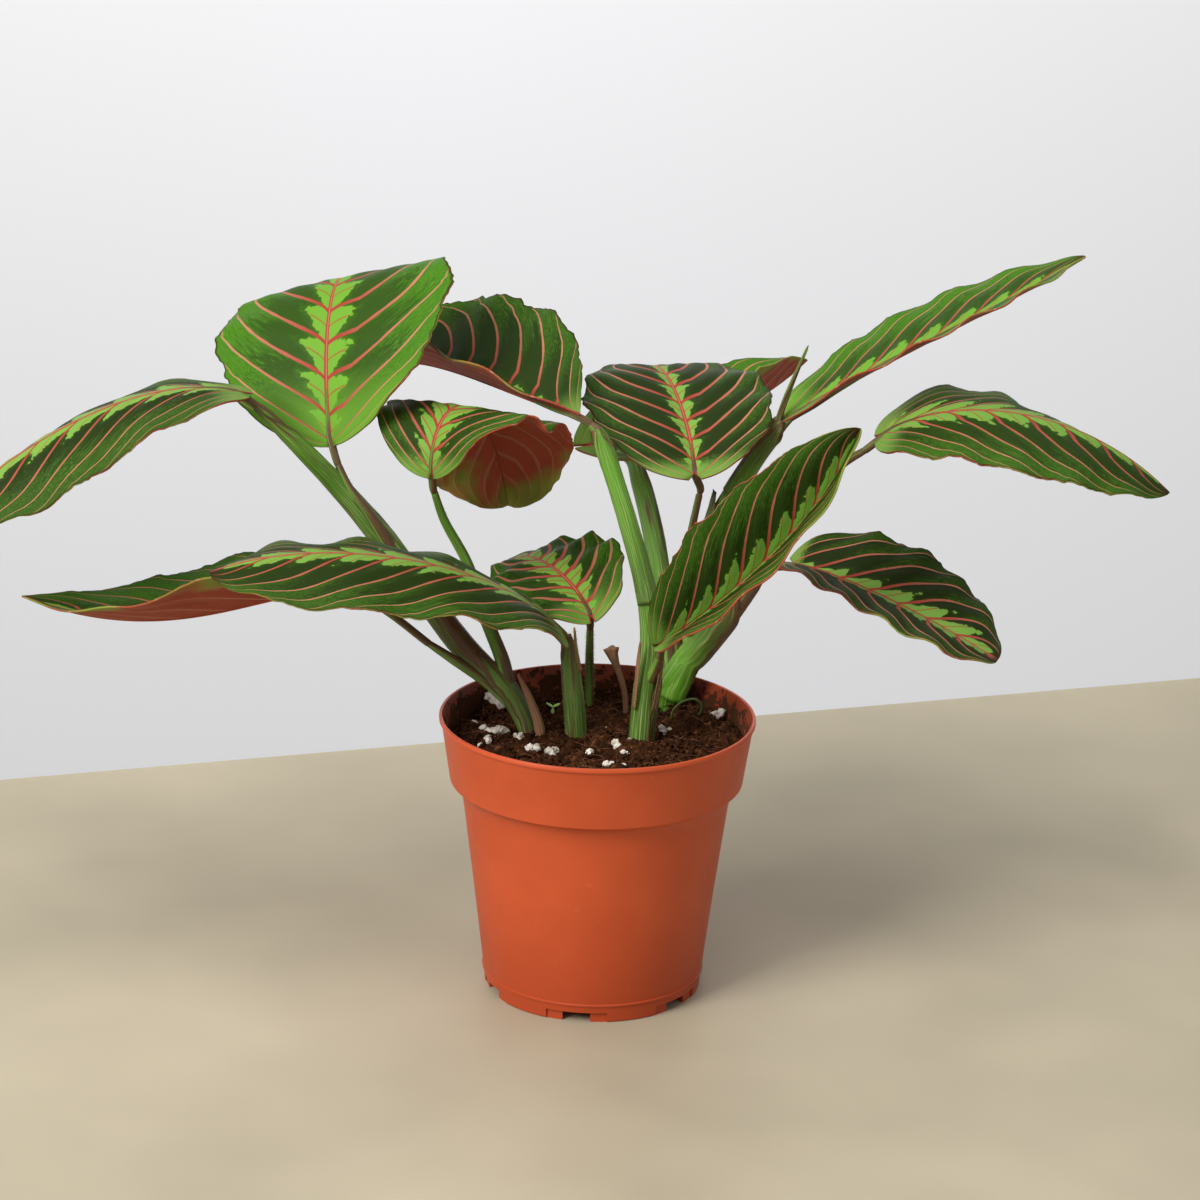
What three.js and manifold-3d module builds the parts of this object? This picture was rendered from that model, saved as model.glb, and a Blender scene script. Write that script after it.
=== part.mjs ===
// A young prayer plant in a 4 inch nursery pot: thirteen patterned leaves on sheathed stems, peat soil
// and the pot.
// Millimetres, +Z up. The origin is the centre of the pot's underside, on the surface that it stands on.
import * as THREE from 'three';
import { mergeVertices } from 'three/addons/utils/BufferGeometryUtils.js';
import Module from 'manifold-3d';

const wasm = await Module();
wasm.setup();
const { degToRad, lerp } = THREE.MathUtils;

// ---- Pot ----
const POT_HEIGHT = 92.4;
const RIM_RADIUS = 51;
const LIP_DEPTH = 3; // the thin lip stands out over the band
const LIP_OVERHANG = 0.9;
const BAND_HEIGHT = 21.5; // deep band under the lip
const BAND_FOOT_RADIUS = 47.4;
const BAND_FOOT_ROUND = 1.5;
const STEP_HEIGHT = 5.5; // rounded step from the band in to the body
const BODY_TOP_RADIUS = 43.2;
const BASE_RADIUS = 35.1;
const WALL = 1.3;
const FLOOR_LIFT = 2.6; // the floor stands clear of the table on its foot ring
const FLOOR_THICKNESS = 1.5;
const FOOT_RING_WIDTH = 2;
const BOSS_RADIUS = 12; // flat middle of the underside, which touches the table
const RING_LINE_HEIGHT = 6; // fine raised line round the body
const RING_LINE_RELIEF = 0.35;
const NOTCHES = 6; // drainage notches in the foot ring
const NOTCH_WIDTH = 9;
const NOTCH_HEIGHT = 3.2;
const NOTCH_FRONT_ANGLE = -98; // degrees round Z, -90 is the front
const POT_SIDES = 48;

// ---- Soil ----
const SOIL_LEVEL = 84;
const SOIL_SIDES = 32;
// Long ripples of its surface: height, then the turn per mm along x and y, then where it starts.
const SOIL_RIPPLES = [[0.9, 0.11, 0.13, 0.6], [0.6, 0.31, 0.23, 0], [0.4, 0.19, -0.41, 1]];
// Perlite lumps: place on the soil and size.
const PERLITE = [
  [-33, 29, 3.2], [-40, 11, 1.6], [-31.7, 1.3, 3.0], [-35, 4, 2.2], [-35, -6, 1.8], [-37, -11, 1.5],
  [-25, 1, 1.7], [-22, -15, 2.0], [-14.6, -13.5, 2.2], [-2, -15.5, 1.7], [3, 7, 0.9], [6.4, -6.6, 1.9],
  [8.4, -13, 1.5], [4.6, -26, 2.0], [8, -25, 1.6], [10.6, -3.6, 1.2], [21.3, 6.5, 1.8], [38.5, 21, 2.4],
];

const CLEARANCE = 0.3; // gap between pieces that touch

// ---- Leaves ----
const BLADE_THICKNESS = 0.7;
const ALONG = 12; // stations along a blade
const ACROSS = 6; // strips across a blade
const LAST_STATION = 0.985; // the drip tip ends in a short blunt edge
const WIDEST_AT = 0.44; // share of the rib's length where the blade is widest
const BASE_OPENING = 0.01; // widens the blade's very base, so that it ends in two lobes
const LOBE_SHARE = 0.2; // share of the rib over which the base lobes lean back
const WAVE_LAG = 0.37; // the right margin's waves run behind the left one's
const STALK_RADIUS = 2.1; // swollen stalk between stem and blade
const SOCKET_DEPTH = 1.5; // how far the stalk reaches back over the stem's end
// Where the stalk fades into the rib: share of the rib, depth under it, radius.
const STALK_RUN = [[0.01, 0.6, 1.6], [0.09, 0.5, 1.1], [0.2, 0.1, 0.5]];

// rib: the midrib's four control points, from the stalk to the drip tip. half: greatest width of each half.
// face: which way the upper face looks, at the base and at the tip. Left and right are as seen from the stalk.
// fold: degrees that each half rises from flat, curl: how much more it turns up by its margin,
// both as [left at base, left at tip, right at base, right at tip].
// wave: height of the margin's waves, how many, and where they start.
// base and tip: 1 is pointed, 0.5 is round.
// lobe: how far the base lobes reach back past the stalk.
const LEAVES = {
  leaf_far_left: {
    rib: [[-116.7, 14, 193.5], [-149, 14, 200], [-190, 0, 176], [-215, -6, 148.5]],
    half: [27, 27], face: [[0, -0.2, 1], [0, -0.3, 1]],
    fold: [10, -26, -10, -46], curl: [-6, -8, -10, -10], wave: [1.2, 4, 0.1],
    base: 0.42, tip: 0.9, lobe: 5,
  },
  leaf_upper_left: {
    rib: [[-87.8, 26, 175.5], [-93, 42, 212], [-88, 70, 232], [-84, 88, 205]],
    half: [39, 43], face: [[0, -0.8, 0.6], [0, 0.5, 0.9]],
    fold: [-16, -10, 38, 4], curl: [-6, -14, 8, 0], wave: [1, 4, 0.4],
    base: 0.55, tip: 0.7, lobe: 3,
  },
  leaf_upper_middle: {
    rib: [[-9, 18, 187.5], [-27, 32, 188], [-50, 66, 191], [-68, 100, 182]],
    half: [23, 33], face: [[0, 0, 1], [0, 0, 1]],
    fold: [30, 34, 18, 62], curl: [6, 6, -6, -6], wave: [1.2, 4, 0.2],
    base: 1, tip: 0.36, lobe: 2,
  },
  leaf_folded: {
    rib: [[-54.4, 12, 169.6], [-55, 16, 193], [-38, 44, 197], [-31, 48, 147.5]],
    half: [28, 33], face: [[0, -0.9, 0.5], [0, 0.9, 0.3]],
    fold: [-6, -44, 58, -46], curl: [-12, -8, -6, -10], wave: [1.4, 5, 0.3],
    base: 0.57, tip: 0.5, lobe: 3,
  },
  leaf_centre: {
    rib: [[29.5, 15, 169.2], [28, 38, 182], [19, 66, 197], [14, 84, 185]],
    half: [32, 30], face: [[0, -0.4, 1], [0, 0.2, 1]],
    fold: [14, 4, 22, 2], curl: [-12, -12, -10, -12], wave: [0.9, 4, 0.6],
    base: 0.42, tip: 0.7, lobe: 3,
  },
  leaf_behind: {
    rib: [[-4, 86, 158], [18, 92, 160], [46, 104, 161], [69, 112, 182.5]],
    half: [32, 32], face: [[-0.1, -0.4, 1], [0, -0.2, 1]],
    fold: [8, 8, 8, 60], curl: [-10, -10, 10, 20], wave: [1, 4, 0],
    base: 0.57, tip: 0.75, lobe: 6,
  },
  leaf_upper_right: {
    rib: [[66.4, 35, 187.4], [90, 40, 202], [128, 50, 217], [155.5, 60, 232.6]],
    half: [25, 25], face: [[-0.2, 0, 1], [-0.2, 0, 1]],
    fold: [9, 6, 14, 15], curl: [8, 4, 10, 6], wave: [0.9, 5, 0.2],
    base: 0.42, tip: 0.75, lobe: 11,
  },
  leaf_right: {
    rib: [[91, 15, 185], [107, 11, 197], [148, 2, 201], [179, 0, 170.7]],
    half: [31, 31], face: [[0, -0.2, 1], [0, -0.2, 1]],
    fold: [6, -46, 2, -6], curl: [-6, -14, -12, -10], wave: [0.9, 5, 0.5],
    base: 0.42, tip: 0.7, lobe: 6,
  },
  leaf_lower_right: {
    rib: [[62.4, 20, 137.9], [74, 12, 139], [106, -8, 130], [126, -15, 118.5]],
    half: [28, 20], face: [[0, -0.15, 1], [0, -0.15, 1]],
    fold: [22, 2, 26, 10], curl: [-6, -6, -8, -8], wave: [0.9, 5, 0.1],
    base: 0.38, tip: 0.5, lobe: 3,
  },
  leaf_front_right: {
    rib: [[20, -9, 120], [36, -14, 133], [68, -18, 162], [79.8, -14, 193.5]],
    half: [26, 26], face: [[-0.15, -0.9, 0.4], [-0.2, -0.9, 0.3]],
    fold: [42, 36, 72, 77], curl: [-8, -8, 0, -4], wave: [0.8, 4, 0.3],
    base: 0.57, tip: 0.6, lobe: 3,
  },
  leaf_long_low: {
    rib: [[-13.2, 2, 120.7], [-30, -6, 144], [-85, -26, 161], [-121.5, -30, 147]],
    half: [31, 29], face: [[0, -0.2, 1], [0, -0.2, 1]],
    fold: [10, -16, -11, -18], curl: [-8, -8, -8, -8], wave: [1.5, 4, 0.7],
    base: 0.37, tip: 0.6, lobe: 4,
  },
  leaf_low_behind: {
    rib: [[-67.6, 12, 121.6], [-95, 10, 145], [-125, 6, 103], [-185.9, 10, 125]],
    half: [26, 26], face: [[0, 0, 1], [0, 0, 1]],
    fold: [62, 12, 20, 14], curl: [6, 6, 6, 6], wave: [0.9, 4, 0.2],
    base: 0.57, tip: 1, lobe: 2,
  },
  leaf_small: {
    rib: [[-3.1, 22, 118.8], [-7, 28, 127], [-20, 44, 134.5], [-30, 58, 126]],
    half: [22, 22], face: [[0, -0.6, 0.8], [0, 0, 1]],
    fold: [2, -6, 8, 6], curl: [-10, -10, 8, 0], wave: [1.6, 5, 0.9],
    base: 0.57, tip: 0.65, lobe: 3,
  },
};

// ---- Stems ----
const TUBE_SIDES = 8;
// Each branch is a list of [x, y, z, radius] from below the soil, or from inside its shoot, to its leaf.
const SHOOTS = {
  shoot_left: {
    leaf_far_left: [
      [-21, 5, 62, 2.2], [-22.5, 6, 82, 2.3], [-28.5, 9, 95, 3.3], [-46, 17, 111, 4.2], [-69, 22, 141.5, 4.0],
      [-84, 23, 159, 3.2], [-97.5, 18, 175, 2.5], [-107.5, 15, 186.3, 1.8], [-111.7, 14, 190, 1.1],
    ],
    leaf_upper_left: [
      [-66, 20.5, 138, 2.6], [-71, 19.5, 146, 2.0], [-76.3, 20, 153.8, 1.5], [-81.5, 21.5, 160.5, 1.3],
      [-85.4, 23.5, 168, 1.1],
    ],
    leaf_folded: [
      [-28.5, 9, 95, 2.4], [-31, 12, 105.5, 2.4], [-38, 18, 121, 2.0], [-43, 21, 135.5, 1.7],
      [-50.8, 18, 151.5, 1.4], [-54, 14, 162.5, 1.1],
    ],
    leaf_low_behind: [[-27, 8, 92, 2.2], [-36, 10, 99, 1.8], [-47, 11.5, 106, 1.6], [-55.5, 12, 111.5, 1.1]],
  },
  shoot_low: {
    leaf_long_low: [
      [-5, 4, 62, 2.6], [-6.5, 3.5, 83, 3.1], [-8, 3, 98, 2.9], [-9.5, 2.5, 112, 2.0], [-11, 2, 118, 1.1],
    ],
  },
  shoot_small: {
    leaf_small: [[-2, 33, 62, 1.4], [-2.6, 34, 84, 1.5], [-3, 30, 100, 1.4], [-3, 23.5, 114.5, 1.1]],
  },
  shoot_front: {
    leaf_upper_middle: [
      [13, -1, 62, 3.6], [14, -1, 83, 3.9], [15, -0.5, 100, 3.8], [16.5, 0, 118, 3.4],
      [13, 4, 140, 2.8], [6, 9.5, 162, 2.5], [-0.5, 15.5, 180.5, 2.2], [-4.5, 17.2, 184.6, 1.1],
    ],
    leaf_front_right: [[16, -0.5, 103, 2.2], [18, -4, 109, 2.0], [19.4, -7, 115, 1.1]],
  },
  shoot_right: {
    leaf_lower_right: [
      [21, 29, 62, 3.4], [22.5, 33, 84, 3.8], [24.5, 31, 94, 4.3], [33, 30, 106, 4.4], [41.5, 28, 118, 4],
      [49, 27, 129, 2.2], [53, 26, 135, 1.1],
    ],
    leaf_upper_right: [
      [30, 31, 103, 2.8], [31, 33, 125, 2.8], [36, 34.5, 145, 2.9], [45, 35, 162, 2.9], [56, 35, 179, 2.5],
      [60.5, 35, 183, 1.1],
    ],
    leaf_right: [
      [34, 31, 106, 2.0], [46, 34, 128, 1.8], [60, 32, 152, 1.6], [76, 22, 171, 1.5], [84, 17, 178, 1.1],
    ],
    leaf_centre: [[27, 32, 98, 1.6], [25, 31, 118, 1.4], [27.6, 27, 137.7, 1.3], [31.5, 19, 163, 1.1]],
    leaf_behind: [
      [24, 33, 95, 2.4], [21.5, 41, 116, 3.1], [17.7, 50, 136, 3.5], [12.8, 62, 152, 3.3], [9, 75, 157, 2.2],
      [1.5, 83, 156, 1.1],
    ],
  },
};

// ---- Small parts ----
const NEW_LEAF = [[54.2, 33.6, 175, 1.0], [59, 33.8, 191, 0.8], [65.2, 34.5, 207.4, 0.35]];
const DRY_STUB = [
  [9.3, 27, 76, 0.8], [8.8, 26.4, 90, 0.9], [6, 25.4, 100, 1.0], [4.6, 25, 104, 1.7], [4, 25, 107, 2.6],
];
const DRY_SHEATH = [[-18.2, 3.2, 78, 1.2], [-18.6, 3.4, 86, 1.4], [-21.6, 4, 95, 1.0], [-26, 4.8, 104, 0.5]];
const SEEDLING_STALK = [[-15.2, 20, 80, 0.6], [-14.6, 20, 87.5, 0.6]];
const SEED_LEAF = { length: 3.4, width: 1.8, thickness: 1.0, lean: 0.5 };

// ---- Colours ----
const finish = (color, roughness) => new THREE.MeshStandardMaterial({ color, roughness, metalness: 0 });
const MATERIALS = {
  pot: finish(0xc8552f, 0.5),
  soil: finish(0x2e1a10, 0.95),
  leaf: finish(0x3f7a23, 0.5),
  stem: finish(0x6b8f36, 0.55),
  dry: finish(0x8a6048, 0.85),
  sprout: finish(0x7dc242, 0.5),
};

// ---- Solids ----

const vector = ([x, y, z]) => new THREE.Vector3(x, y, z);

// A closed geometry as a manifold solid.
function solidOf(geometry) {
  const bare = new THREE.BufferGeometry();
  bare.setAttribute('position', geometry.getAttribute('position').clone());
  if (geometry.index) bare.setIndex(geometry.index.clone());
  const merged = mergeVertices(bare, 1e-4);
  return new wasm.Manifold(new wasm.Mesh({
    numProp: 3,
    vertProperties: new Float32Array(merged.attributes.position.array),
    triVerts: new Uint32Array(merged.index.array),
  }));
}

function geometryOf(solid) {
  const mesh = solid.getMesh();
  const geometry = new THREE.BufferGeometry();
  geometry.setAttribute('position', new THREE.BufferAttribute(mesh.vertProperties, 3));
  geometry.setIndex(new THREE.BufferAttribute(mesh.triVerts, 1));
  geometry.computeVertexNormals();
  return geometry;
}

// Skins a row of rings, each with the same even number of points, and closes both ends by zipping their sides.
// The second half of a ring is split the other way, so that a blade's two faces have the same triangles.
function loft(rings) {
  const count = rings[0].length;
  const half = count / 2;
  const index = [];
  for (let row = 0; row + 1 < rings.length; row += 1) {
    for (let i = 0; i < count; i += 1) {
      const next = (i + 1) % count;
      const a = row * count + i;
      const b = row * count + next;
      const c = a + count;
      const d = b + count;
      if (i < half - 1) index.push(a, b, d, a, d, c);
      else index.push(a, b, c, b, d, c);
    }
  }
  const zip = (start, flip) => {
    for (let i = 0; i + 1 < half; i += 1) {
      const [a, b, c, d] = [i, i + 1, count - 2 - i, count - 1 - i].map((k) => start + k);
      const faces = b === c ? [[a, d, b]] : [[a, d, b], [b, d, c]];
      faces.forEach((f) => index.push(...(flip ? [f[0], f[2], f[1]] : f)));
    }
  };
  zip(0, false);
  zip((rings.length - 1) * count, true);
  const geometry = new THREE.BufferGeometry();
  const positions = rings.flat().flatMap((p) => [p.x, p.y, p.z]);
  geometry.setAttribute('position', new THREE.Float32BufferAttribute(positions, 3));
  geometry.setIndex(index);
  return geometry;
}

// The loft as a solid with its faces outwards, whichever way its rings run.
function loftSolid(rings) {
  const solid = solidOf(loft(rings));
  if (solid.volume() > 0) return solid;
  return solidOf(loft(rings.map((ring) => [...ring].reverse())));
}

// A round rod along points [x, y, z, radius]. With extra it is the hole that such a rod fits in.
function rod(points, extra = 0) {
  const curve = new THREE.CatmullRomCurve3(points.map(vector), false, 'centripetal');
  const steps = 2;
  const rows = (points.length - 1) * steps;
  const frames = curve.computeFrenetFrames(rows, false);
  const rings = [];
  for (let row = 0; row <= rows; row += 1) {
    const at = Math.min(Math.floor(row / steps), points.length - 2);
    const radius = lerp(points[at][3], points[at + 1][3], row / steps - at) + extra;
    const centre = curve.getPoint(row / rows);
    const endwards = row === 0 ? -extra : row === rows ? extra : 0;
    centre.addScaledVector(frames.tangents[row], endwards);
    const ring = [];
    for (let side = 0; side < TUBE_SIDES; side += 1) {
      const angle = (side / TUBE_SIDES) * 2 * Math.PI;
      ring.push(centre.clone()
        .addScaledVector(frames.normals[row], Math.cos(angle) * radius)
        .addScaledVector(frames.binormals[row], Math.sin(angle) * radius));
    }
    rings.push(ring);
  }
  return loftSolid(rings);
}

// ---- Leaves ----

// The blade's half width at a share of its rib, from 0 to 1.
function bladeShare(s, base, tip) {
  if (s < WIDEST_AT) return (1 - ((WIDEST_AT - s) / (WIDEST_AT + BASE_OPENING)) ** 2) ** base;
  return (1 - ((s - WIDEST_AT) / (1 - WIDEST_AT)) ** 2) ** tip;
}

// The middle surface of a blade: s runs from the stalk to the tip, t from the left margin, -1, to the right, 1.
function bladeSurface(leaf) {
  const rib = new THREE.CubicBezierCurve3(...leaf.rib.map(vector));
  const faces = leaf.face.map(vector);
  const [waveHeight, waves, waveStart] = leaf.wave;
  return (s, t) => {
    const along = rib.getTangentAt(s);
    const up = faces[0].clone().lerp(faces[1], s);
    up.addScaledVector(along, -up.dot(along)).normalize();
    const outwards = new THREE.Vector3().crossVectors(up, along).multiplyScalar(t < 0 ? 1 : -1);
    const side = t < 0 ? 0 : 2;
    const fold = degToRad(lerp(leaf.fold[side], leaf.fold[side + 1], s));
    const curl = degToRad(lerp(leaf.curl[side], leaf.curl[side + 1], s)) || 1e-6;
    const q = Math.abs(t);
    const share = bladeShare(s, leaf.base, leaf.tip);
    const width = leaf.half[side / 2] * share;
    const turned = fold + curl * q;
    const reach = width * (Math.sin(turned) - Math.sin(fold)) / curl;
    const rise = width * (Math.cos(fold) - Math.cos(turned)) / curl;
    const phase = waves * s + waveStart + (t < 0 ? 0 : WAVE_LAG);
    const wave = waveHeight * Math.min(1, 2 * share) * q * q * Math.sin(2 * Math.PI * phase);
    const lobe = leaf.lobe * q * Math.max(0, 1 - s / LOBE_SHARE) ** 2;
    return rib.getPointAt(s)
      .addScaledVector(outwards, reach - wave * Math.sin(turned))
      .addScaledVector(up, rise + wave * Math.cos(turned))
      .addScaledVector(along, -lobe);
  };
}

// Stations stand closer together towards both ends of the blade, where its outline turns fastest.
const stationAt = (u) => (u - 0.09 * Math.sin(2 * Math.PI * u)) * LAST_STATION;

function bladeSolid(leaf) {
  const surface = bladeSurface(leaf);
  const step = 0.004;
  const rings = [];
  for (let row = 0; row <= ALONG; row += 1) {
    const s = stationAt(row / ALONG);
    const upper = [];
    const lower = [];
    for (let column = 0; column <= ACROSS; column += 1) {
      const t = -1 + (2 * column) / ACROSS;
      const point = surface(s, t);
      const sideways = surface(s, Math.min(1, t + step)).sub(surface(s, Math.max(-1, t - step)));
      const forwards = surface(Math.min(1, s + step), t).sub(surface(Math.max(0, s - step), t));
      const normal = sideways.cross(forwards).normalize();
      upper.push(point.clone().addScaledVector(normal, BLADE_THICKNESS / 2));
      lower.unshift(point.clone().addScaledVector(normal, -BLADE_THICKNESS / 2));
    }
    rings.push([...upper, ...lower]);
  }
  return loftSolid(rings);
}

// The swollen stalk: from its socket on the stem's end to the midrib's underside, which it fades into.
function stalkSolid(leaf, branch) {
  const surface = bladeSurface(leaf);
  const tip = vector(branch.at(-1));
  const start = vector(branch.at(-2)).sub(tip).setLength(SOCKET_DEPTH).add(tip);
  const up = vector(leaf.face[0]).normalize();
  const run = STALK_RUN.map(([s, depth, radius]) => [...surface(s, 0).addScaledVector(up, -depth), radius]);
  return rod([[...start, STALK_RADIUS], [...tip, STALK_RADIUS], ...run]);
}

// A leaf is its blade and its stalk, with a socket for the end of its stem.
const leafSolid = (leaf, branch) => bladeSolid(leaf)
  .add(stalkSolid(leaf, branch))
  .subtract(rod(branch, CLEARANCE));

// ---- Stems and small parts ----

const shootSolid = (branches) => Object.values(branches)
  .map((points) => rod(points))
  .reduce((whole, branch) => whole.add(branch));

function seedlingSolid() {
  const { length, width, thickness, lean } = SEED_LEAF;
  const top = SEEDLING_STALK.at(-1);
  let sprout = rod(SEEDLING_STALK);
  for (const side of [-1, 1]) {
    const seedLeaf = new THREE.SphereGeometry(0.5, 8, 5);
    seedLeaf.scale(length, width, thickness);
    seedLeaf.translate(side * length * 0.4, 0, 0);
    seedLeaf.rotateY(-side * lean);
    seedLeaf.translate(top[0], top[1], top[2]);
    sprout = sprout.add(solidOf(seedLeaf));
  }
  return sprout;
}

// ---- Pot and soil ----

const BAND_FOOT = POT_HEIGHT - BAND_HEIGHT;
const BODY_TOP = BAND_FOOT - STEP_HEIGHT;
const FLOOR_TOP = FLOOR_LIFT + FLOOR_THICKNESS;
const bodyRadiusAt = (z) => BASE_RADIUS + ((BODY_TOP_RADIUS - BASE_RADIUS) * z) / BODY_TOP;

function potSolid() {
  const outside = [
    [0, 0],
    [BOSS_RADIUS, 0],
    [BOSS_RADIUS + 1, FLOOR_LIFT],
    [BASE_RADIUS - FOOT_RING_WIDTH - 0.4, FLOOR_LIFT],
    [BASE_RADIUS - FOOT_RING_WIDTH, 0],
    [BASE_RADIUS, 0],
    [bodyRadiusAt(RING_LINE_HEIGHT - 0.5), RING_LINE_HEIGHT - 0.5],
    [bodyRadiusAt(RING_LINE_HEIGHT) + RING_LINE_RELIEF, RING_LINE_HEIGHT],
    [bodyRadiusAt(RING_LINE_HEIGHT + 0.5), RING_LINE_HEIGHT + 0.5],
    [BODY_TOP_RADIUS, BODY_TOP],
    [lerp(BODY_TOP_RADIUS, BAND_FOOT_RADIUS, 0.55), lerp(BODY_TOP, BAND_FOOT, 0.4)],
    [BAND_FOOT_RADIUS, BAND_FOOT + BAND_FOOT_ROUND],
    [RIM_RADIUS - LIP_OVERHANG, POT_HEIGHT - LIP_DEPTH],
    [RIM_RADIUS, POT_HEIGHT - LIP_DEPTH / 2],
    [RIM_RADIUS - 0.1, POT_HEIGHT - 0.3],
    [RIM_RADIUS - 0.8, POT_HEIGHT],
  ];
  const inside = [
    [RIM_RADIUS - LIP_OVERHANG - WALL, POT_HEIGHT - LIP_DEPTH / 2],
    [BAND_FOOT_RADIUS - WALL, BAND_FOOT + BAND_FOOT_ROUND],
    [lerp(BODY_TOP_RADIUS, BAND_FOOT_RADIUS, 0.4) - WALL, lerp(BODY_TOP, BAND_FOOT, 0.5)],
    [BODY_TOP_RADIUS - WALL, BODY_TOP],
    [bodyRadiusAt(FLOOR_TOP) - WALL, FLOOR_TOP],
    [0, FLOOR_TOP],
  ];
  const profile = [...outside, ...inside].map(([r, z]) => new THREE.Vector2(r, z));
  const shell = new THREE.LatheGeometry(profile, POT_SIDES);
  shell.rotateX(Math.PI / 2);
  let pot = solidOf(shell);
  for (let i = 0; i < NOTCHES; i += 1) {
    const notch = new THREE.BoxGeometry(4 * FOOT_RING_WIDTH, NOTCH_WIDTH, 2 * NOTCH_HEIGHT);
    notch.translate(BASE_RADIUS, 0, 0);
    notch.rotateZ(degToRad(NOTCH_FRONT_ANGLE + (360 * i) / NOTCHES));
    pot = pot.subtract(solidOf(notch));
  }
  return pot;
}

const soilHeight = (x, y) => SOIL_RIPPLES.reduce(
  (height, [rise, alongX, alongY, start]) => height + rise * Math.sin(alongX * x + alongY * y + start),
  SOIL_LEVEL,
);

function soilSolid() {
  const gap = WALL + CLEARANCE + 0.2; // a little more than the clearance, for the pot's flat sides
  const topRadius = BAND_FOOT_RADIUS + 1.6 - gap;
  const circle = (radius, height) => Array.from({ length: SOIL_SIDES }, (_, i) => {
    const angle = (i / SOIL_SIDES) * 2 * Math.PI;
    const x = radius * Math.cos(angle);
    const y = radius * Math.sin(angle);
    return new THREE.Vector3(x, y, height === undefined ? soilHeight(x, y) : height);
  });
  const rings = [
    ...[1, 7, 14, 21, 28, 35, 41, topRadius].map((radius) => circle(radius)),
    circle(BAND_FOOT_RADIUS - gap, BAND_FOOT + BAND_FOOT_ROUND),
    circle(BODY_TOP_RADIUS - gap, BODY_TOP),
    circle(bodyRadiusAt(FLOOR_TOP) - gap, FLOOR_TOP + CLEARANCE),
  ];
  let soil = loftSolid(rings);
  for (const [x, y, size] of PERLITE) {
    const lump = new THREE.IcosahedronGeometry(size, 0);
    lump.scale(1, 0.85, 0.8);
    lump.rotateZ(x);
    lump.translate(x, y, soilHeight(x, y) + size * 0.15);
    soil = soil.add(solidOf(lump));
  }
  const sunk = [...Object.values(SHOOTS).map((branches) => Object.values(branches)[0].slice(0, 3)),
    DRY_STUB, DRY_SHEATH, SEEDLING_STALK];
  for (const points of sunk) soil = soil.subtract(rod(points, CLEARANCE));
  return soil;
}

// ---- The plant put together ----

const plant = new THREE.Group();

function place(name, solid, material) {
  const mesh = new THREE.Mesh(geometryOf(solid), material);
  mesh.name = name;
  plant.add(mesh);
}

place('pot', potSolid(), MATERIALS.pot);
place('soil', soilSolid(), MATERIALS.soil);
for (const [name, branches] of Object.entries(SHOOTS)) {
  const shoot = shootSolid(branches);
  place(name, name === 'shoot_right' ? shoot.subtract(rod(NEW_LEAF, CLEARANCE)) : shoot, MATERIALS.stem);
  for (const [leafName, branch] of Object.entries(branches)) {
    place(leafName, leafSolid(LEAVES[leafName], branch), MATERIALS.leaf);
  }
}
place('new_leaf', rod(NEW_LEAF), MATERIALS.sprout);
place('dry_stub', rod(DRY_STUB), MATERIALS.dry);
place('dry_sheath', rod(DRY_SHEATH), MATERIALS.dry);
place('seedling', seedlingSolid(), MATERIALS.sprout);

export default plant;
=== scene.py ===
"""Potted prayer plant: a Blender add-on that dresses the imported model, one operator for each group of pieces."""
import math
from functools import partial
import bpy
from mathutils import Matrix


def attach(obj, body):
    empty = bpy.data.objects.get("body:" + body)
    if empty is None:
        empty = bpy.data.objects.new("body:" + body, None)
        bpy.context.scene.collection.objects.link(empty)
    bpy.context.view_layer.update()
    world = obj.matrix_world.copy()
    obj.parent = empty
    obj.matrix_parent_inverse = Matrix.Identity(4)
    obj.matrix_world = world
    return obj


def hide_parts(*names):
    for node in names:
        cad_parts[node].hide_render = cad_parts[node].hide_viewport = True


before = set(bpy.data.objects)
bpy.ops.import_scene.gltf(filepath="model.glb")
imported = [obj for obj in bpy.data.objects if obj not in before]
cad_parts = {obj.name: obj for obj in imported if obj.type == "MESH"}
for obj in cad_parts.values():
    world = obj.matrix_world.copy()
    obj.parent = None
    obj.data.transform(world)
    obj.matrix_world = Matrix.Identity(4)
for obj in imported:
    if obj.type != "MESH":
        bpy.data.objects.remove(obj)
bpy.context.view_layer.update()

from types import SimpleNamespace

import bpy
import numpy as np
from bpy.props import FloatProperty, IntProperty, PointerProperty
from mathutils import Euler, Matrix, Vector

bl_info = {
    "name": "Potted Prayer Plant",
    "version": (1, 0, 0),
    "blender": (4, 5, 0),
    "location": "3D Viewport > Sidebar > Plant",
    "description": "Builds a potted prayer plant on its packed model",
    "category": "Add Mesh",
}

MM = 0.001
WELD = 2e-6

# ---- Camera: where the photograph was taken from ----
CAMERA_PLACE = (0.0, -1.2090, 0.5239)
CAMERA_PITCH = math.radians(18.0)
CAMERA_ROLL = math.radians(1.22)
CAMERA_LENS = 119.64
CAMERA_SENSOR = 36

# ---- Stage, in metres ----
TABLE_CORNERS = [(-4, -4, 0), (4, -4, 0), (-4, -1.01137, 0), (4, 1.49499, 0)]
WALL_CORNERS = [(-6, 2.6, -3), (6, 2.6, -3), (-6, 2.6, 5), (6, 2.6, 5)]
PLANT_MIDDLE = (0, 0, 0.13)
WALL_MIDDLE = (0.05, 2.6, -0.1)
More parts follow.
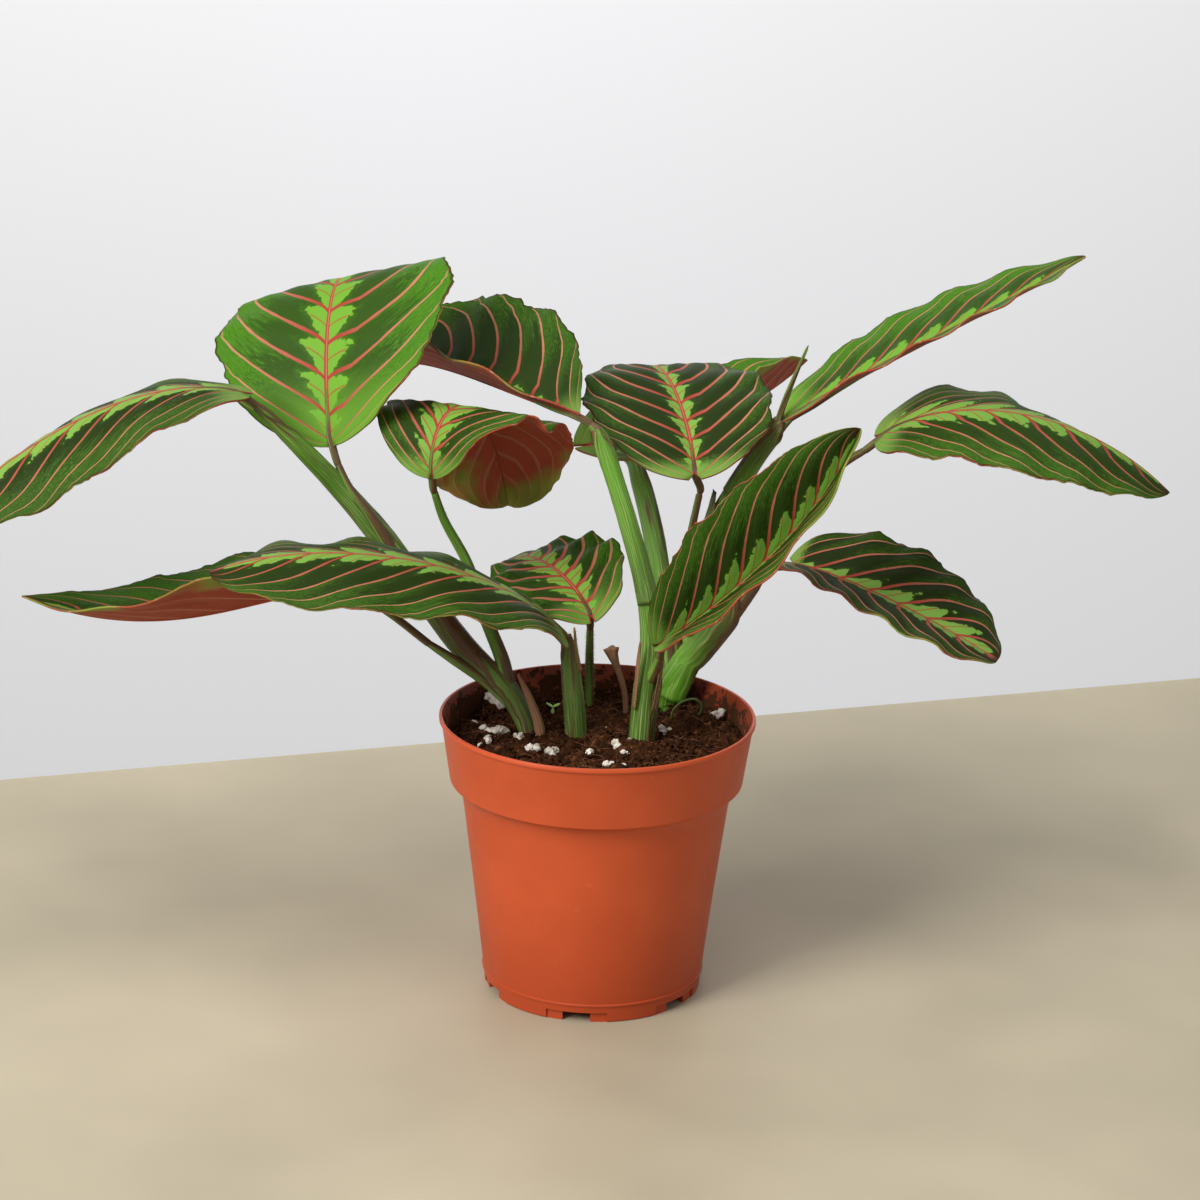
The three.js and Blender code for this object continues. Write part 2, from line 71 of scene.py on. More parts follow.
# Each lamp's place, size, colour, and what it is aimed at.
LAMPS = {
    "key": ((-1.6, -1.55, 1.6), 1.1, (1.0, 0.985, 0.96), PLANT_MIDDLE),
    "fill": ((1.9, -1.6, 1.0), 1.8, (0.97, 0.985, 1.0), PLANT_MIDDLE),
    "top": ((-0.3, -0.6, 2.3), 1.6, (1.0, 1.0, 1.0), PLANT_MIDDLE),
    "wall": ((-0.3, 1.4, 1.15), 1.4, (1.0, 1.0, 1.0), WALL_MIDDLE),
}
AIR_COLOUR = (0.99, 0.99, 1.0, 1.0)

# ---- Pot, in millimetres: (radius, height) of its outline from the foot ring round to the floor ----
POT_PROFILE = [
    (12.0, 0.0), (12.6, 2.6), (32.9, 2.6), (33.2, 0.3), (33.5, 0.0), (34.7, 0.0), (35.1, 0.4), (35.75, 5.5),
    (36.15, 5.75), (36.2, 6.25), (35.85, 6.5), (39.4, 36.0), (42.5, 60.0), (42.9, 63.0), (43.3, 65.4), (43.9, 67.4),
    (44.8, 69.1), (46.0, 70.3), (46.9, 70.75), (47.35, 71.2), (47.5, 72.2), (50.2, 90.2), (50.35, 90.6),
    (50.75, 90.75), (51.0, 91.15), (51.0, 91.9), (50.8, 92.3), (50.4, 92.4), (50.0, 92.35), (49.75, 92.0),
    (49.0, 88.9), (46.2, 72.2), (45.7, 71.2), (42.3, 66.4), (41.85, 65.2), (38.1, 36.0), (34.2, 6.5), (33.3, 4.5),
    (32.3, 4.1), (0.05, 4.1),
]
POT_FOOT_RADIUS = 35.1
NOTCH_COUNT = 6
NOTCH_FIRST = -98.0
# Cuts at each notch: degrees beside its middle, width, height, depth. Three shallow ones and the open one.
NOTCH_CUTS = [(-10.6, 7, 3.4, 1.3), (0, 7, 3.4, 1.3), (10.6, 7, 3.4, 1.3), (0, 9, 3.2, 6)]

# ---- Soil ----
SOIL_LEVEL = 84.0
SOIL_RIPPLES = [(0.9, 0.11, 0.13, 0.6), (0.6, 0.31, 0.23, 0.0), (0.4, 0.19, -0.41, 1.0)]
# Clods on the ripples: size, height, and the seed of each layer.
SOIL_CLODS = [(7.0, 1.2, 1), (2.6, 1.1, 2), (1.1, 0.7, 3), (0.6, 0.35, 4)]
SOIL_RADIUS_TOP = 47.4
SOIL_RINGS = 150
SOIL_STEPS = 220
SOIL_SIDE = [(45.2, 71.5), (41.6, 65.5), (31.6, 4.5), (0.1, 4.5)]
PERLITE = [
    (-33, 29, 3.2), (-40, 11, 1.6), (-31.7, 1.3, 3), (-35, 4, 2.2), (-35, -6, 1.8), (-37, -11, 1.5), (-25, 1, 1.7),
    (-22, -15, 2), (-14.6, -13.5, 2.2), (-2, -15.5, 1.7), (3, 7, 0.9), (6.4, -6.6, 1.9), (8.4, -13, 1.5),
    (4.6, -26, 2), (8, -25, 1.6), (10.6, -3.6, 1.2), (21.3, 6.5, 1.8), (38.5, 21, 2.4),
]

# ---- Leaves, in millimetres, with the outline and folds of the imported model ----
# rib: a Bezier curve from stalk to tip. half: width of each half. face: where the upper face looks, at base and tip.
# fold, curl: degrees each half rises, and turns up further: left at base and tip, right at base and tip.
# wave: height, number and start of the margin's waves. tip, base: smaller is fuller. lobe: how far the base reaches.
# sweep: how far the side veins run forward. zone: share of the blade that is light, at base and tip.
# foot: length of the light patch at the base. fresh: how bright the greens are. dark: how far out the blotches go.
# glow: painted light through the underside, which brightens its colour. veins: side veins in each half. stalk: radius
# of the swollen stalk.
WIDEST_AT = 0.44
LOBE_SHARE = 0.2
WAVE_LAG = 0.37
# Where the stalk fades into the rib: share of the rib, depth under it, radius.
STALK_RUN = [(0.01, 0.6, 1.3), (0.09, 0.5, 0.95), (0.2, 0.2, 0.6)]
# The rib that stands out below a blade: where it runs, how deep, its points, and its radius at each end.
KEEL_REACH = (0.16, 0.93)
KEEL_DEPTH = 0.35
KEEL_POINTS = 24
KEEL_RADII = (0.62, 0.2)
JOINT_FLUSH = (0.75, 0.35)
LEAF_DEFAULTS = dict(base=0.57, lobe=3, sweep=1.0, veins=8, foot=0.09, glow=0.3, stalk=1.25)
Z = (0, 0, 1)
LEAVES = {
    "leaf_far_left": dict(
        rib=[(-116.7, 14, 193.5), (-149, 14, 200), (-190, 0, 176), (-215, -6, 148.5)], half=(27, 27),
        face=[(0, -0.2, 1), (0, -0.3, 1)], fold=(10, -26, -10, -46), curl=(-6, -8, -10, -10),
        wave=(1.2, 4, 0.1), tip=0.9, base=0.42, lobe=5, sweep=1.25, zone=(0.3, 0.2), fresh=0.14, dark=0.6),
    "leaf_upper_left": dict(
        rib=[(-87.8, 26, 175.5), (-93, 42, 212), (-88, 70, 232), (-84, 88, 205)], half=(39, 43),
        face=[(0, -0.8, 0.6), (0, 0.5, 0.9)], fold=(-16, -10, 38, 4), curl=(-6, -14, 8, 0),
        wave=(1, 4, 0.4), tip=0.7, base=0.55, veins=7, zone=(0.24, 0.24), foot=0.28, fresh=0.85, dark=0.8),
    "leaf_upper_middle": dict(
        rib=[(-9, 18, 187.5), (-27, 32, 188), (-50, 66, 191), (-68, 100, 182)], half=(23, 33),
        face=[Z, Z], fold=(30, 34, 18, 62), curl=(6, 6, -6, -6),
        wave=(1.2, 4, 0.2), tip=0.36, base=1.0, lobe=2, zone=(0.1, 0.1), foot=0.13, fresh=0.3, dark=0.95),
    "leaf_folded": dict(
        rib=[(-54.4, 12, 169.6), (-55, 16, 193), (-38, 44, 197), (-31, 48, 147.5)], half=(28, 33),
        face=[(0, -0.9, 0.5), (0, 0.9, 0.3)], fold=(-6, -44, 58, -46), curl=(-12, -8, -6, -10),
        wave=(1.4, 5, 0.3), tip=0.5, glow=0.95, veins=9, zone=(0.38, 0.4), fresh=0.4, dark=0.85),
    "leaf_centre": dict(
        rib=[(29.5, 15, 169.2), (28, 38, 182), (19, 66, 197), (14, 84, 185)], half=(32, 30),
        face=[(0, -0.4, 1), (0, 0.2, 1)], fold=(14, 4, 22, 2), curl=(-12, -12, -10, -12),
        wave=(0.9, 4, 0.6), tip=0.7, base=0.42, zone=(0.17, 0.13), fresh=0.18, dark=1.15),
    "leaf_behind": dict(
        rib=[(-4, 86, 158), (18, 92, 160), (46, 104, 161), (69, 112, 182.5)], half=(32, 32),
        face=[(-0.1, -0.4, 1), (0, -0.2, 1)], fold=(8, 8, 8, 60), curl=(-10, -10, 10, 20),
        wave=(1, 4, 0), tip=0.75, lobe=6, zone=(0.15, 0.12), fresh=0.6, dark=0.5),
    "leaf_upper_right": dict(
        rib=[(66.4, 35, 187.4), (90, 40, 202), (128, 50, 217), (155.5, 60, 232.6)], half=(25, 25),
        face=[(-0.2, 0, 1), (-0.2, 0, 1)], fold=(9, 6, 14, 15), curl=(8, 4, 10, 6),
        wave=(0.9, 5, 0.2), tip=0.75, sweep=1.1, base=0.42, lobe=11, zone=(0.34, 0.16), fresh=0.8, dark=0.75),
    "leaf_right": dict(
        rib=[(91, 15, 185), (107, 11, 197), (148, 2, 201), (179, 0, 170.7)], half=(31, 31),
        face=[(0, -0.2, 1), (0, -0.2, 1)], fold=(6, -46, 2, -6), curl=(-6, -14, -12, -10),
        wave=(0.9, 5, 0.5), tip=0.7, base=0.42, sweep=1.35, lobe=6, zone=(0.4, 0.16), fresh=0.35, dark=0.85),
    "leaf_lower_right": dict(
        rib=[(62.4, 20, 137.9), (74, 12, 139), (106, -8, 130), (126, -15, 118.5)], half=(28, 20),
        face=[(0, -0.15, 1), (0, -0.15, 1)], fold=(22, 2, 26, 10), curl=(-6, -6, -8, -8),
        wave=(0.9, 5, 0.1), tip=0.5, base=0.38, stalk=1.9, veins=7,
        zone=(0.1, 0.44), foot=0.04, fresh=0.08, dark=1.1),
    "leaf_front_right": dict(
        rib=[(20, -9, 120), (36, -14, 133), (68, -18, 162), (79.8, -14, 193.5)], half=(26, 26),
        face=[(-0.15, -0.9, 0.4), (-0.2, -0.9, 0.3)], fold=(42, 36, 72, 77), curl=(-8, -8, 0, -4),
        wave=(0.8, 4, 0.3), tip=0.6, sweep=1.2, glow=0.7, zone=(0.34, 0.3), fresh=0.28, dark=0.75),
    "leaf_long_low": dict(
        rib=[(-13.2, 2, 120.7), (-30, -6, 144), (-85, -26, 161), (-121.5, -30, 147)], half=(31, 29),
        face=[(0, -0.2, 1), (0, -0.2, 1)], fold=(10, -16, -11, -18), curl=(-8, -8, -8, -8),
        wave=(1.5, 4, 0.7), tip=0.6, base=0.37, lobe=4, sweep=1.2, veins=9, zone=(0.3, 0.2), fresh=0.22, dark=0.9),
    "leaf_low_behind": dict(
        rib=[(-67.6, 12, 121.6), (-95, 10, 145), (-125, 6, 103), (-185.9, 10, 125)], half=(26, 26),
        face=[Z, Z], fold=(62, 12, 20, 14), curl=(6, 6, 6, 6),
        wave=(0.9, 4, 0.2), tip=1.0, lobe=2, zone=(0.25, 0.2), fresh=0.4, dark=0.5),
    "leaf_small": dict(
        rib=[(-3.1, 22, 118.8), (-7, 28, 127), (-20, 44, 134.5), (-30, 58, 126)], half=(22, 22),
        face=[(0, -0.6, 0.8), (0, 0, 1)], fold=(2, -6, 8, 6), curl=(-10, -10, 8, 0),
        wave=(1.6, 5, 0.9), tip=0.65, veins=7, zone=(0.38, 0.34), foot=0.2, fresh=0.45, dark=0.8),
}

# ---- Stems: for each leaf's stem the brown flush along it, its freshness, and points of x, y, z and radius ----
SHOOTS = {
    "shoot_left": {
        "leaf_far_left": ((0.2, 0.4, 0.8, 0.8, 0.35, 0.2, 0.9), (0.1, 0.1, 0.3, 0.5, 0.5), [
            (-21, 5, 62, 2.2), (-22.5, 6, 82, 2.3), (-28.5, 9, 95, 3.3), (-46, 17, 111, 4.2), (-69, 22, 141.5, 3.7),
            (-84, 23, 159, 3), (-97.5, 18, 175, 2.3), (-107.5, 15, 186.3, 1.6), (-111.7, 14, 190, 1.1)]),
        "leaf_upper_left": ((0.6, 0.6, 0.9), (0.3,), [
            (-66, 20.5, 138, 2.6), (-71, 19.5, 146, 2), (-76.3, 20, 153.8, 1.5), (-81.5, 21.5, 160.5, 1.3),
            (-85.4, 23.5, 168, 1.1)]),
        "leaf_folded": ((0.5, 0.25, 0.1, 0.15), (0.6,), [
            (-28.5, 9, 95, 2.4), (-31, 12, 105.5, 2.4), (-38, 18, 121, 2), (-43, 21, 135.5, 1.7),
            (-50.8, 18, 151.5, 1.4), (-54, 14, 162.5, 1.1)]),
        "leaf_low_behind": ((0.3, 0.4, 0.8), (0.3,), [
            (-27, 8, 92, 2.2), (-36, 10, 99, 1.8), (-47, 11.5, 106, 1.6), (-55.5, 12, 111.5, 1.1)]),
    },
    "shoot_low": {
        "leaf_long_low": ((0.0, 0.2, 0.6), (0.1,), [
            (-5, 4, 62, 2.6), (-6.5, 3.5, 83, 3.1), (-8, 3, 98, 2.9), (-9.5, 2.5, 112, 2), (-11, 2, 118, 1.1)]),
    },
    "shoot_small": {
        "leaf_small": ((0.3, 0.6, 0.4), (0.4,), [
            (-2, 33, 62, 1.4), (-2.6, 34, 84, 1.5), (-3, 30, 100, 1.4), (-3, 23.5, 114.5, 1.1)]),
    },
    "shoot_front": {
        "leaf_upper_middle": ((0.2, 0.3, 0.15, 0.0, 0.0, 0.85), (0.1, 0.25, 0.7, 0.8), [
            (13, -1, 62, 3.6), (14, -1, 83, 3.9), (15, -0.5, 100, 3.8), (16.5, 0, 118, 3.4), (13, 4, 140, 2.8),
            (6, 9.5, 162, 2.5), (-0.5, 15.5, 180.5, 2.2), (-4.5, 17.2, 184.6, 1.1)]),
        "leaf_front_right": ((0.4, 0.5), (0.6,), [(16, -0.5, 103, 2.2), (18, -4, 109, 2), (19.4, -7, 115, 1.1)]),
    },
    "shoot_right": {
        "leaf_lower_right": ((-0.3, 0.1, 0.5, 0.85, 0.95), (1.0, 0.9, 0.2, 0.1), [
            (21, 29, 62, 3.4), (22.5, 33, 84, 3.8), (24.5, 31, 94, 4.3), (33, 30, 106, 4.5), (41.5, 28, 118, 4.2),
            (49, 27, 129, 3.4), (53, 26, 135, 2)]),
        "leaf_upper_right": ((0.2, 0.15, 0.2, 0.75), (0.8,), [
            (30, 31, 103, 2.8), (31, 33, 125, 2.8), (36, 34.5, 145, 2.9), (45, 35, 162, 2.9), (56, 35, 179, 2.5),
            (60.5, 35, 183, 1.1)]),
        "leaf_right": ((0.7, 0.85), (0.2,), [
            (34, 31, 106, 2), (46, 34, 128, 1.8), (60, 32, 152, 1.6), (76, 22, 171, 1.5), (84, 17, 178, 1.1)]),
        "leaf_centre": ((0.7, 0.85), (0.25,), [
            (27, 32, 98, 1.6), (25, 31, 118, 1.4), (27.6, 27, 137.7, 1.3), (31.5, 19, 163, 1.1)]),
        "leaf_behind": ((0.3, 0.35, 0.4), (0.7,), [
            (24, 33, 95, 2.4), (21.5, 41, 116, 3.1), (17.7, 50, 136, 3.5), (12.8, 62, 152, 3.3), (9, 75, 157, 2.2),
            (1.5, 83, 156, 1.1)]),
    },
}
FLUSH_SIDE = 0.3
STEM_STEPS = dict(around=28, steps=10)
HUSK_STEPS = dict(around=24, steps=8)
SHEATH_THICKNESS = 0.25
# Leaf sheaths wrapped round the stems: points with radius, the side that they face in degrees (0 is left, 90 is
# towards the viewer), how far round they reach, and the flush at their start and end; dried ones have none.
SHEATHS = {
    "shoot_left": [
        ([(-60, 20.5, 130, 3.7), (-70, 22, 142.5, 3.9), (-84, 23, 159, 3.35), (-97.5, 18, 175, 2.7),
          (-110, 15, 189, 2)], 60, 300, (0.0, 0.1)),
        ([(-21, 5, 76, 2.6), (-24, 7, 88, 2.9), (-30, 10, 97, 3.6), (-40, 14, 106, 4.3)], 120, 110, (0.15, 0.5)),
    ],
    "shoot_low": [
        ([(-6, 3.7, 76, 3.2), (-7.6, 3.2, 95, 3.35), (-8.8, 2.8, 106, 2.9), (-10.4, 1.8, 119.5, 2.0)],
         110, 230, (0.0, 0.5)),
        ([(-8.6, 3, 106, 3.0), (-9.6, 2.6, 113, 2.6), (-10.6, 1.6, 121, 2.6)], 165, 60, None),
    ],
    "shoot_front": [
        ([(15.5, 1, 130, 3.4), (13, 4, 140, 3.15), (6, 9.5, 162, 2.85), (-1.8, 16.2, 183, 2.7)],
         90, 310, (-0.1, -0.1)),
        ([(13.6, -1, 76, 4.3), (14.4, -0.9, 92, 4.3), (15.2, -1, 99, 4.3), (16.2, -1.3, 108, 4.5)],
         150, 60, (0.7, 0.1)),
        ([(14.8, -1, 96, 4.3), (15.6, -1.6, 106, 4.5), (16.6, -2.2, 119, 4.6)], 45, 16, None),
        ([(15, -1, 96, 4.3), (16.4, -1.2, 106, 4.5), (18, -2, 117, 4.2)], 130, 18, None),
    ],
    "shoot_right": [
        ([(24, 31, 88, 4.6), (28, 31, 99, 4.7), (33, 30, 106, 4.85), (41.5, 28, 118, 4.5), (48.5, 27, 128.5, 3.75)],
         20, 270, (-0.1, 0.6)),
        ([(30, 31, 110, 3.1), (30.6, 32.5, 120, 3.2), (33, 33.8, 135, 3.3), (37, 34.5, 148, 3.4),
          (40, 34.8, 157, 3.9)], 20, 170, (0.1, 0.25)),
        ([(42, 35, 157, 3.2), (45, 35, 162, 3.3), (51, 35, 172, 3.1), (58.4, 35, 182, 2.9)], 70, 290, (0.0, 0.35)),
    ],
}
NEW_LEAF = [(54.2, 33.6, 175, 1), (59, 33.8, 191, 0.85), (65.2, 34.5, 207.4, 0.35)]
DRY_STUB = [(9.3, 27, 76, 0.8), (8.8, 26.4, 90, 0.9), (6, 25.4, 100, 1), (4.6, 25, 104, 1.7), (4, 25, 107, 2.6)]
DRY_SHEATH = [(-18.2, 3.2, 78, 1.2), (-18.6, 3.4, 86, 1.4), (-21.6, 4, 95, 1.0), (-26, 4.8, 104, 0.5)]
SEEDLING_STALK = [(-15.2, 20, 80, 0.6), (-14.6, 20, 87.5, 0.6)]
SEED_LEAF = Vector((3.0, 1.6, 0.8))
SEED_LEAN = 0.5
ROOTLET = [
    (24, 20, 84, 0.42), (25, 19, 88, 0.42), (28, 18.5, 91, 0.42), (32, 19, 91.5, 0.42), (34, 20, 88.5, 0.42),
    (33, 20.5, 85.5, 0.42),
]

# ---- Colours, as sRGB ----
PALETTE = {
    "margin_dull": "#253F12", "margin_fresh": "#3F7813", "dark_dull": "#1E280A", "dark_fresh": "#315014",
    "light_dull": "#76A046", "light_fresh": "#679C2C", "vein_near": "#9A3C30", "vein_far": "#BE8268",
    "streak": "#7B9A36", "edge": "#3A2415", "under": "#7A3220", "under_pale": "#9C4A32", "under_bright": "#B5533A",
    "under_edge": "#7A9836", "stem_dull": "#46601F", "stem_fresh": "#62A01C", "flush": "#603A26",
    "stem_line": "#ACC470", "pot": "#C05029", "pot_deep": "#A03B18", "pot_shade_and_film": "#6E3220", "pot_pale": "#DC7A50",
    "soil": "#45260F", "soil_deep": "#160B05", "soil_crumb": "#7A4E30", "perlite": "#DFD9CC",
    "perlite_deep": "#8E8473", "husk": "#74432B", "husk_deep": "#4A2E1E", "husk_pale": "#A9764E",
    "sprout": "#8CC93F", "sprout_pale": "#C3DC78", "table": "#BDB298", "table_deep": "#A0967F", "wall": "#EAEBEE",
}


# ---- Shared helpers ----

def linear(name):
    """The linear colour of a palette entry."""
    code = PALETTE[name].lstrip("#")
    shares = [int(code[i:i + 2], 16) / 255 for i in (0, 2, 4)]
    return tuple(c / 12.92 if c <= 0.04045 else ((c + 0.055) / 1.055) ** 2.4 for c in shares) + (1.0,)


def node(tree, kind, *values, at=None, out=0, **named):
    """Adds a shader node and returns one of its outputs. Values fill its inputs in turn, capitalised names and the
    keys of at fill those inputs, and the other names are its settings."""
    new = tree.nodes.new("ShaderNode" + kind)
    inputs = {**dict(enumerate(values)), **(at or {})}
    for key, value in named.items():
        if key[0].isupper():
            inputs[key] = value
        else:
            setattr(new, key, value)
    for key, value in inputs.items():
        if isinstance(value, bpy.types.NodeSocket):
            tree.links.new(value, new.inputs[key])
        else:
            new.inputs[key].default_value = value
    return new.outputs[out] if len(new.outputs) else new


def material(name, recipe, **constants):
    """A named material: the recipe returns the links of its shader, constants are set on the shader's own sockets."""
    found = bpy.data.materials.get(name)
    if found:
        return found
    made = bpy.data.materials.new(name)
    made.use_nodes = True
    tree = made.node_tree
    tree.nodes.clear()
    shader = node(tree, "BsdfPrincipled", at={**recipe(partial(node, tree)), **constants})
    node(tree, "OutputMaterial", Surface=shader)
    return made


def grid_piece(name, along, across, place, materials, fields=None):
    """Adds a grid laid by place(u, v), in millimetres; u runs along, v across. Fields become point attributes."""
    bpy.ops.object.select_all(action="DESELECT")
    bpy.ops.mesh.primitive_grid_add(x_subdivisions=along, y_subdivisions=across, size=2, calc_uvs=True)
    piece = bpy.context.object
    piece.name = piece.data.name = name
    mesh = piece.data
    flat = np.zeros(len(mesh.vertices) * 3)
    mesh.vertices.foreach_get("co", flat)
    u = (flat[0::3] + 1) / 2
    v = (flat[1::3] + 1) / 2
    mesh.vertices.foreach_set("co", (place(u, v) * MM).ravel())
    for field, values in (fields(u, v) if fields else {}).items():
        attribute = mesh.attributes.new(field, "FLOAT", "POINT")
        attribute.data.foreach_set("value", np.broadcast_to(values, u.shape).astype(np.float32))
    for one in materials:
        mesh.materials.append(one)
    mesh.update()
    return piece


def select(*pieces):
    """Makes the pieces the selection, with the first one active."""
    bpy.ops.object.select_all(action="DESELECT")
    for piece in pieces:
        piece.select_set(True)
    bpy.context.view_layer.objects.active = pieces[0]


def edit(piece, *steps):
    """Runs edit-mode operators on all of a piece, each given as (operator, settings)."""
    select(piece)
    bpy.ops.object.mode_set(mode="EDIT")
    bpy.ops.mesh.select_all(action="SELECT")
    for operator, settings in steps:
        operator(**settings)
    bpy.ops.object.mode_set(mode="OBJECT")


def close_ends(piece):
    """Welds a piece's seam and caps its open ends."""
    edit(piece, (bpy.ops.mesh.remove_doubles, dict(threshold=WELD)),
         (bpy.ops.mesh.select_all, dict(action="DESELECT")),
         (bpy.ops.mesh.select_non_manifold, {}),
         (bpy.ops.mesh.edge_face_add, {}),
         (bpy.ops.mesh.select_all, dict(action="SELECT")),
         (bpy.ops.mesh.normals_make_consistent, dict(inside=False)))


def modify(piece, kind, **settings):
    """Adds a modifier and applies it."""
    select(piece)
    modifier = piece.modifiers.new(kind.title(), kind)
    for key, value in settings.items():
        setattr(modifier, key, value)
    bpy.ops.object.modifier_apply(modifier=modifier.name)


def join(name, pieces):
    """Joins the pieces into the first one."""
    select(*pieces)
    if len(pieces) > 1:
        bpy.ops.object.join()
    pieces[0].name = pieces[0].data.name = name
    return pieces[0]


def finish_piece(piece, nodes=(), smooth=True):
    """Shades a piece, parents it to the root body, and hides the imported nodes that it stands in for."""
    select(piece)
    if smooth:
        bpy.ops.object.shade_smooth()
    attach(piece, "root")
    if nodes:
        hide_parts(*nodes)
    return piece


def scatter(name, source, places, one_material):
    """Copies a small source piece to every 4 x 4 place, all in one mesh, and removes the source."""
    verts = np.array([tuple(v.co) + (1.0,) for v in source.data.vertices])
    faces = [tuple(p.vertices) for p in source.data.polygons]
    places = np.array(places)
    points = np.einsum("nij,vj->nvi", places, verts)[:, :, :3].reshape(-1, 3)
    mesh = bpy.data.meshes.new(name)
    starts = range(0, len(points), len(verts))
    mesh.from_pydata(points.tolist(), [], [tuple(i + start for i in face) for start in starts for face in faces])
    mesh.materials.append(one_material)
    piece = bpy.data.objects.new(name, mesh)
    bpy.context.collection.objects.link(piece)
    bpy.data.objects.remove(source)
    return piece


def lay(place, direction, track, scale):
    """The 4 x 4 place of a small piece: its spot in millimetres, which way its axis points, and its size."""
    turn = Vector(direction).to_track_quat(*track)
    return np.array(Matrix.LocRotScale(Vector(place) * MM, turn, Vector(scale)))


def unit(vectors):
    return vectors / np.maximum(np.linalg.norm(vectors, axis=-1, keepdims=True), 1e-12)


def lerp(a, b, share):
    return a + (b - a) * share


def value_noise(x, y, size, seed):
    """Smooth noise from -1 to 1 over a plane, with lumps of the given size."""
    lattice = np.random.default_rng(seed).uniform(-1, 1, (64, 64))
    px, py = x / size + 1000.0, y / size + 1000.0
    ix, iy = np.floor(px).astype(int), np.floor(py).astype(int)
    fx, fy = px - ix, py - iy
    fx, fy = fx * fx * (3 - 2 * fx), fy * fy * (3 - 2 * fy)
    low = lerp(lattice[ix % 64, iy % 64], lattice[(ix + 1) % 64, iy % 64], fx)
    high = lerp(lattice[ix % 64, (iy + 1) % 64], lattice[(ix + 1) % 64, (iy + 1) % 64], fx)
    return lerp(low, high, fy)


def smooth_line(points, steps):
    """Points along a centripetal Catmull-Rom curve; any further columns, such as a radius, run evenly between."""
    rows = np.array(points, float)
    place = rows[:, :3]
    place = np.vstack([2 * place[0] - place[1], place, 2 * place[-1] - place[-2]])
    out = []
    for i in range(len(rows) - 1):
        p0, p1, p2, p3 = place[i:i + 4]
        d0, d1, d2 = (max(np.linalg.norm(b - a), 1e-6) ** 0.5 for a, b in ((p0, p1), (p1, p2), (p2, p3)))
        m1 = ((p1 - p0) / d0 - (p2 - p0) / (d0 + d1) + (p2 - p1) / d1) * d1
        m2 = ((p2 - p1) / d1 - (p3 - p1) / (d1 + d2) + (p3 - p2) / d2) * d1
        for k in range(steps + (i == len(rows) - 2)):
            h = k / steps
            at = ((2 * h**3 - 3 * h**2 + 1) * p1 + (h**3 - 2 * h**2 + h) * m1
                  + (3 * h**2 - 2 * h**3) * p2 + (h**3 - h**2) * m2)
            out.append(np.concatenate([at, lerp(rows[i, 3:], rows[i + 1, 3:], h)]))
    return np.array(out)


def turning_frames(path):
    """Two unit sides for each point of a path, carried along without twist."""
    tangent = unit(np.gradient(path, axis=0))
    sides = [unit(np.cross(tangent[0], (0.0, 1.0, 0.0)))]
    for t in tangent[1:]:
        sides.append(unit(sides[-1] - t * np.dot(sides[-1], t)))
    sides = np.array(sides)
    return sides, np.cross(tangent, sides)


def tube(name, points, materials, around=20, steps=6, ribs=0.03, rib_count=9, arc=None, facing=0.0, fields=None,
         shape=None):
    """A tube round a smooth line, closed at both ends, or an open strip of it that spans an arc in degrees."""
    line = smooth_line(points, steps)
    side, other = turning_frames(line[:, :3])
    run = np.concatenate([[0], np.cumsum(np.linalg.norm(np.diff(line[:, :3], axis=0), axis=1))])

    def place(u, v):
        i = np.rint(u * (len(line) - 1)).astype(int)
        angle = 2 * math.pi * v if arc is None else math.radians(facing) + math.radians(arc) * (v - 0.5)
        radius = line[i, 3] * (1 + ribs * np.sin(rib_count * angle + 0.04 * run[i]))
        if shape:
            angle, radius = shape(u, v, angle, radius)
        if arc is None:
            radius = np.where((i == 0) | (i == len(line) - 1), radius * 0.25, radius)
        out = side[i] * (np.cos(angle) * radius)[:, None] + other[i] * (np.sin(angle) * radius)[:, None]
        return line[i, :3] + out

    def all_fields(u, v):
        i = np.rint(u * (len(line) - 1)).astype(int)
        values = {"run_mm": run[i], "turn": np.sin(2 * math.pi * v), "turn_b": np.cos(2 * math.pi * v)}
        values.update(fields(u, v) if fields else {})
        return values

    piece = grid_piece(name, len(line) - 1, around, place, materials, all_fields)
    if arc is None:
        close_ends(piece)
    return piece


# ---- Materials: each recipe gets add, which adds a node to its tree, and returns the shader's links ----

TIMES = dict(operation="MULTIPLY")
PLUS = dict(operation="ADD")
MINUS = dict(operation="SUBTRACT")
SMOOTH = dict(interpolation_type="SMOOTHSTEP")


def leaf_pattern(add):
    """The fields that both faces of a blade share: distance to the nearest side vein and to the rib, and streaks."""
    names = ("phase", "gap_mm", "rib_mm", "edge", "share", "zone", "fresh", "dark", "half_mm", "glow", "foot")
    read = SimpleNamespace(**{name: add("Attribute", out=2, attribute_name=name) for name in names})
    read.between = add("Math", read.phase, 0.5, operation="PINGPONG")
    wobble = add("TexNoise", Vector=add("TexCoord", out=3), Scale=220.0)
    wobble = add("MapRange", wobble, 0, 1, -0.35, 0.35)
    vein_mm = add("Math", read.between, read.gap_mm, wobble, operation="MULTIPLY_ADD")
    across = add("Math", read.phase, read.gap_mm, **TIMES)
    grain = add("CombineXYZ", across, add("Math", read.rib_mm, 0.07, **TIMES), read.half_mm)
    read.streaks = add("TexNoise", Vector=grain, Scale=1.5, Detail=3.0, Roughness=0.6)
    read.fine = add("TexNoise", Vector=grain, Scale=5.0)
    width = add("MapRange", read.edge, 0, 1, 1.05, 0.66)
    inner = add("Math", width, 0.55, **TIMES)
    read.vein = add("MapRange", vein_mm, inner, width, 1.0, 0.0, **SMOOTH)
    rib_width = add("MapRange", read.share, 0, 1, 0.85, 0.35)
    past = add("Math", read.rib_mm, rib_width, **MINUS)
    read.rib = add("MapRange", past, -0.12, 0.18, 1.0, 0.0, **SMOOTH)
    return read


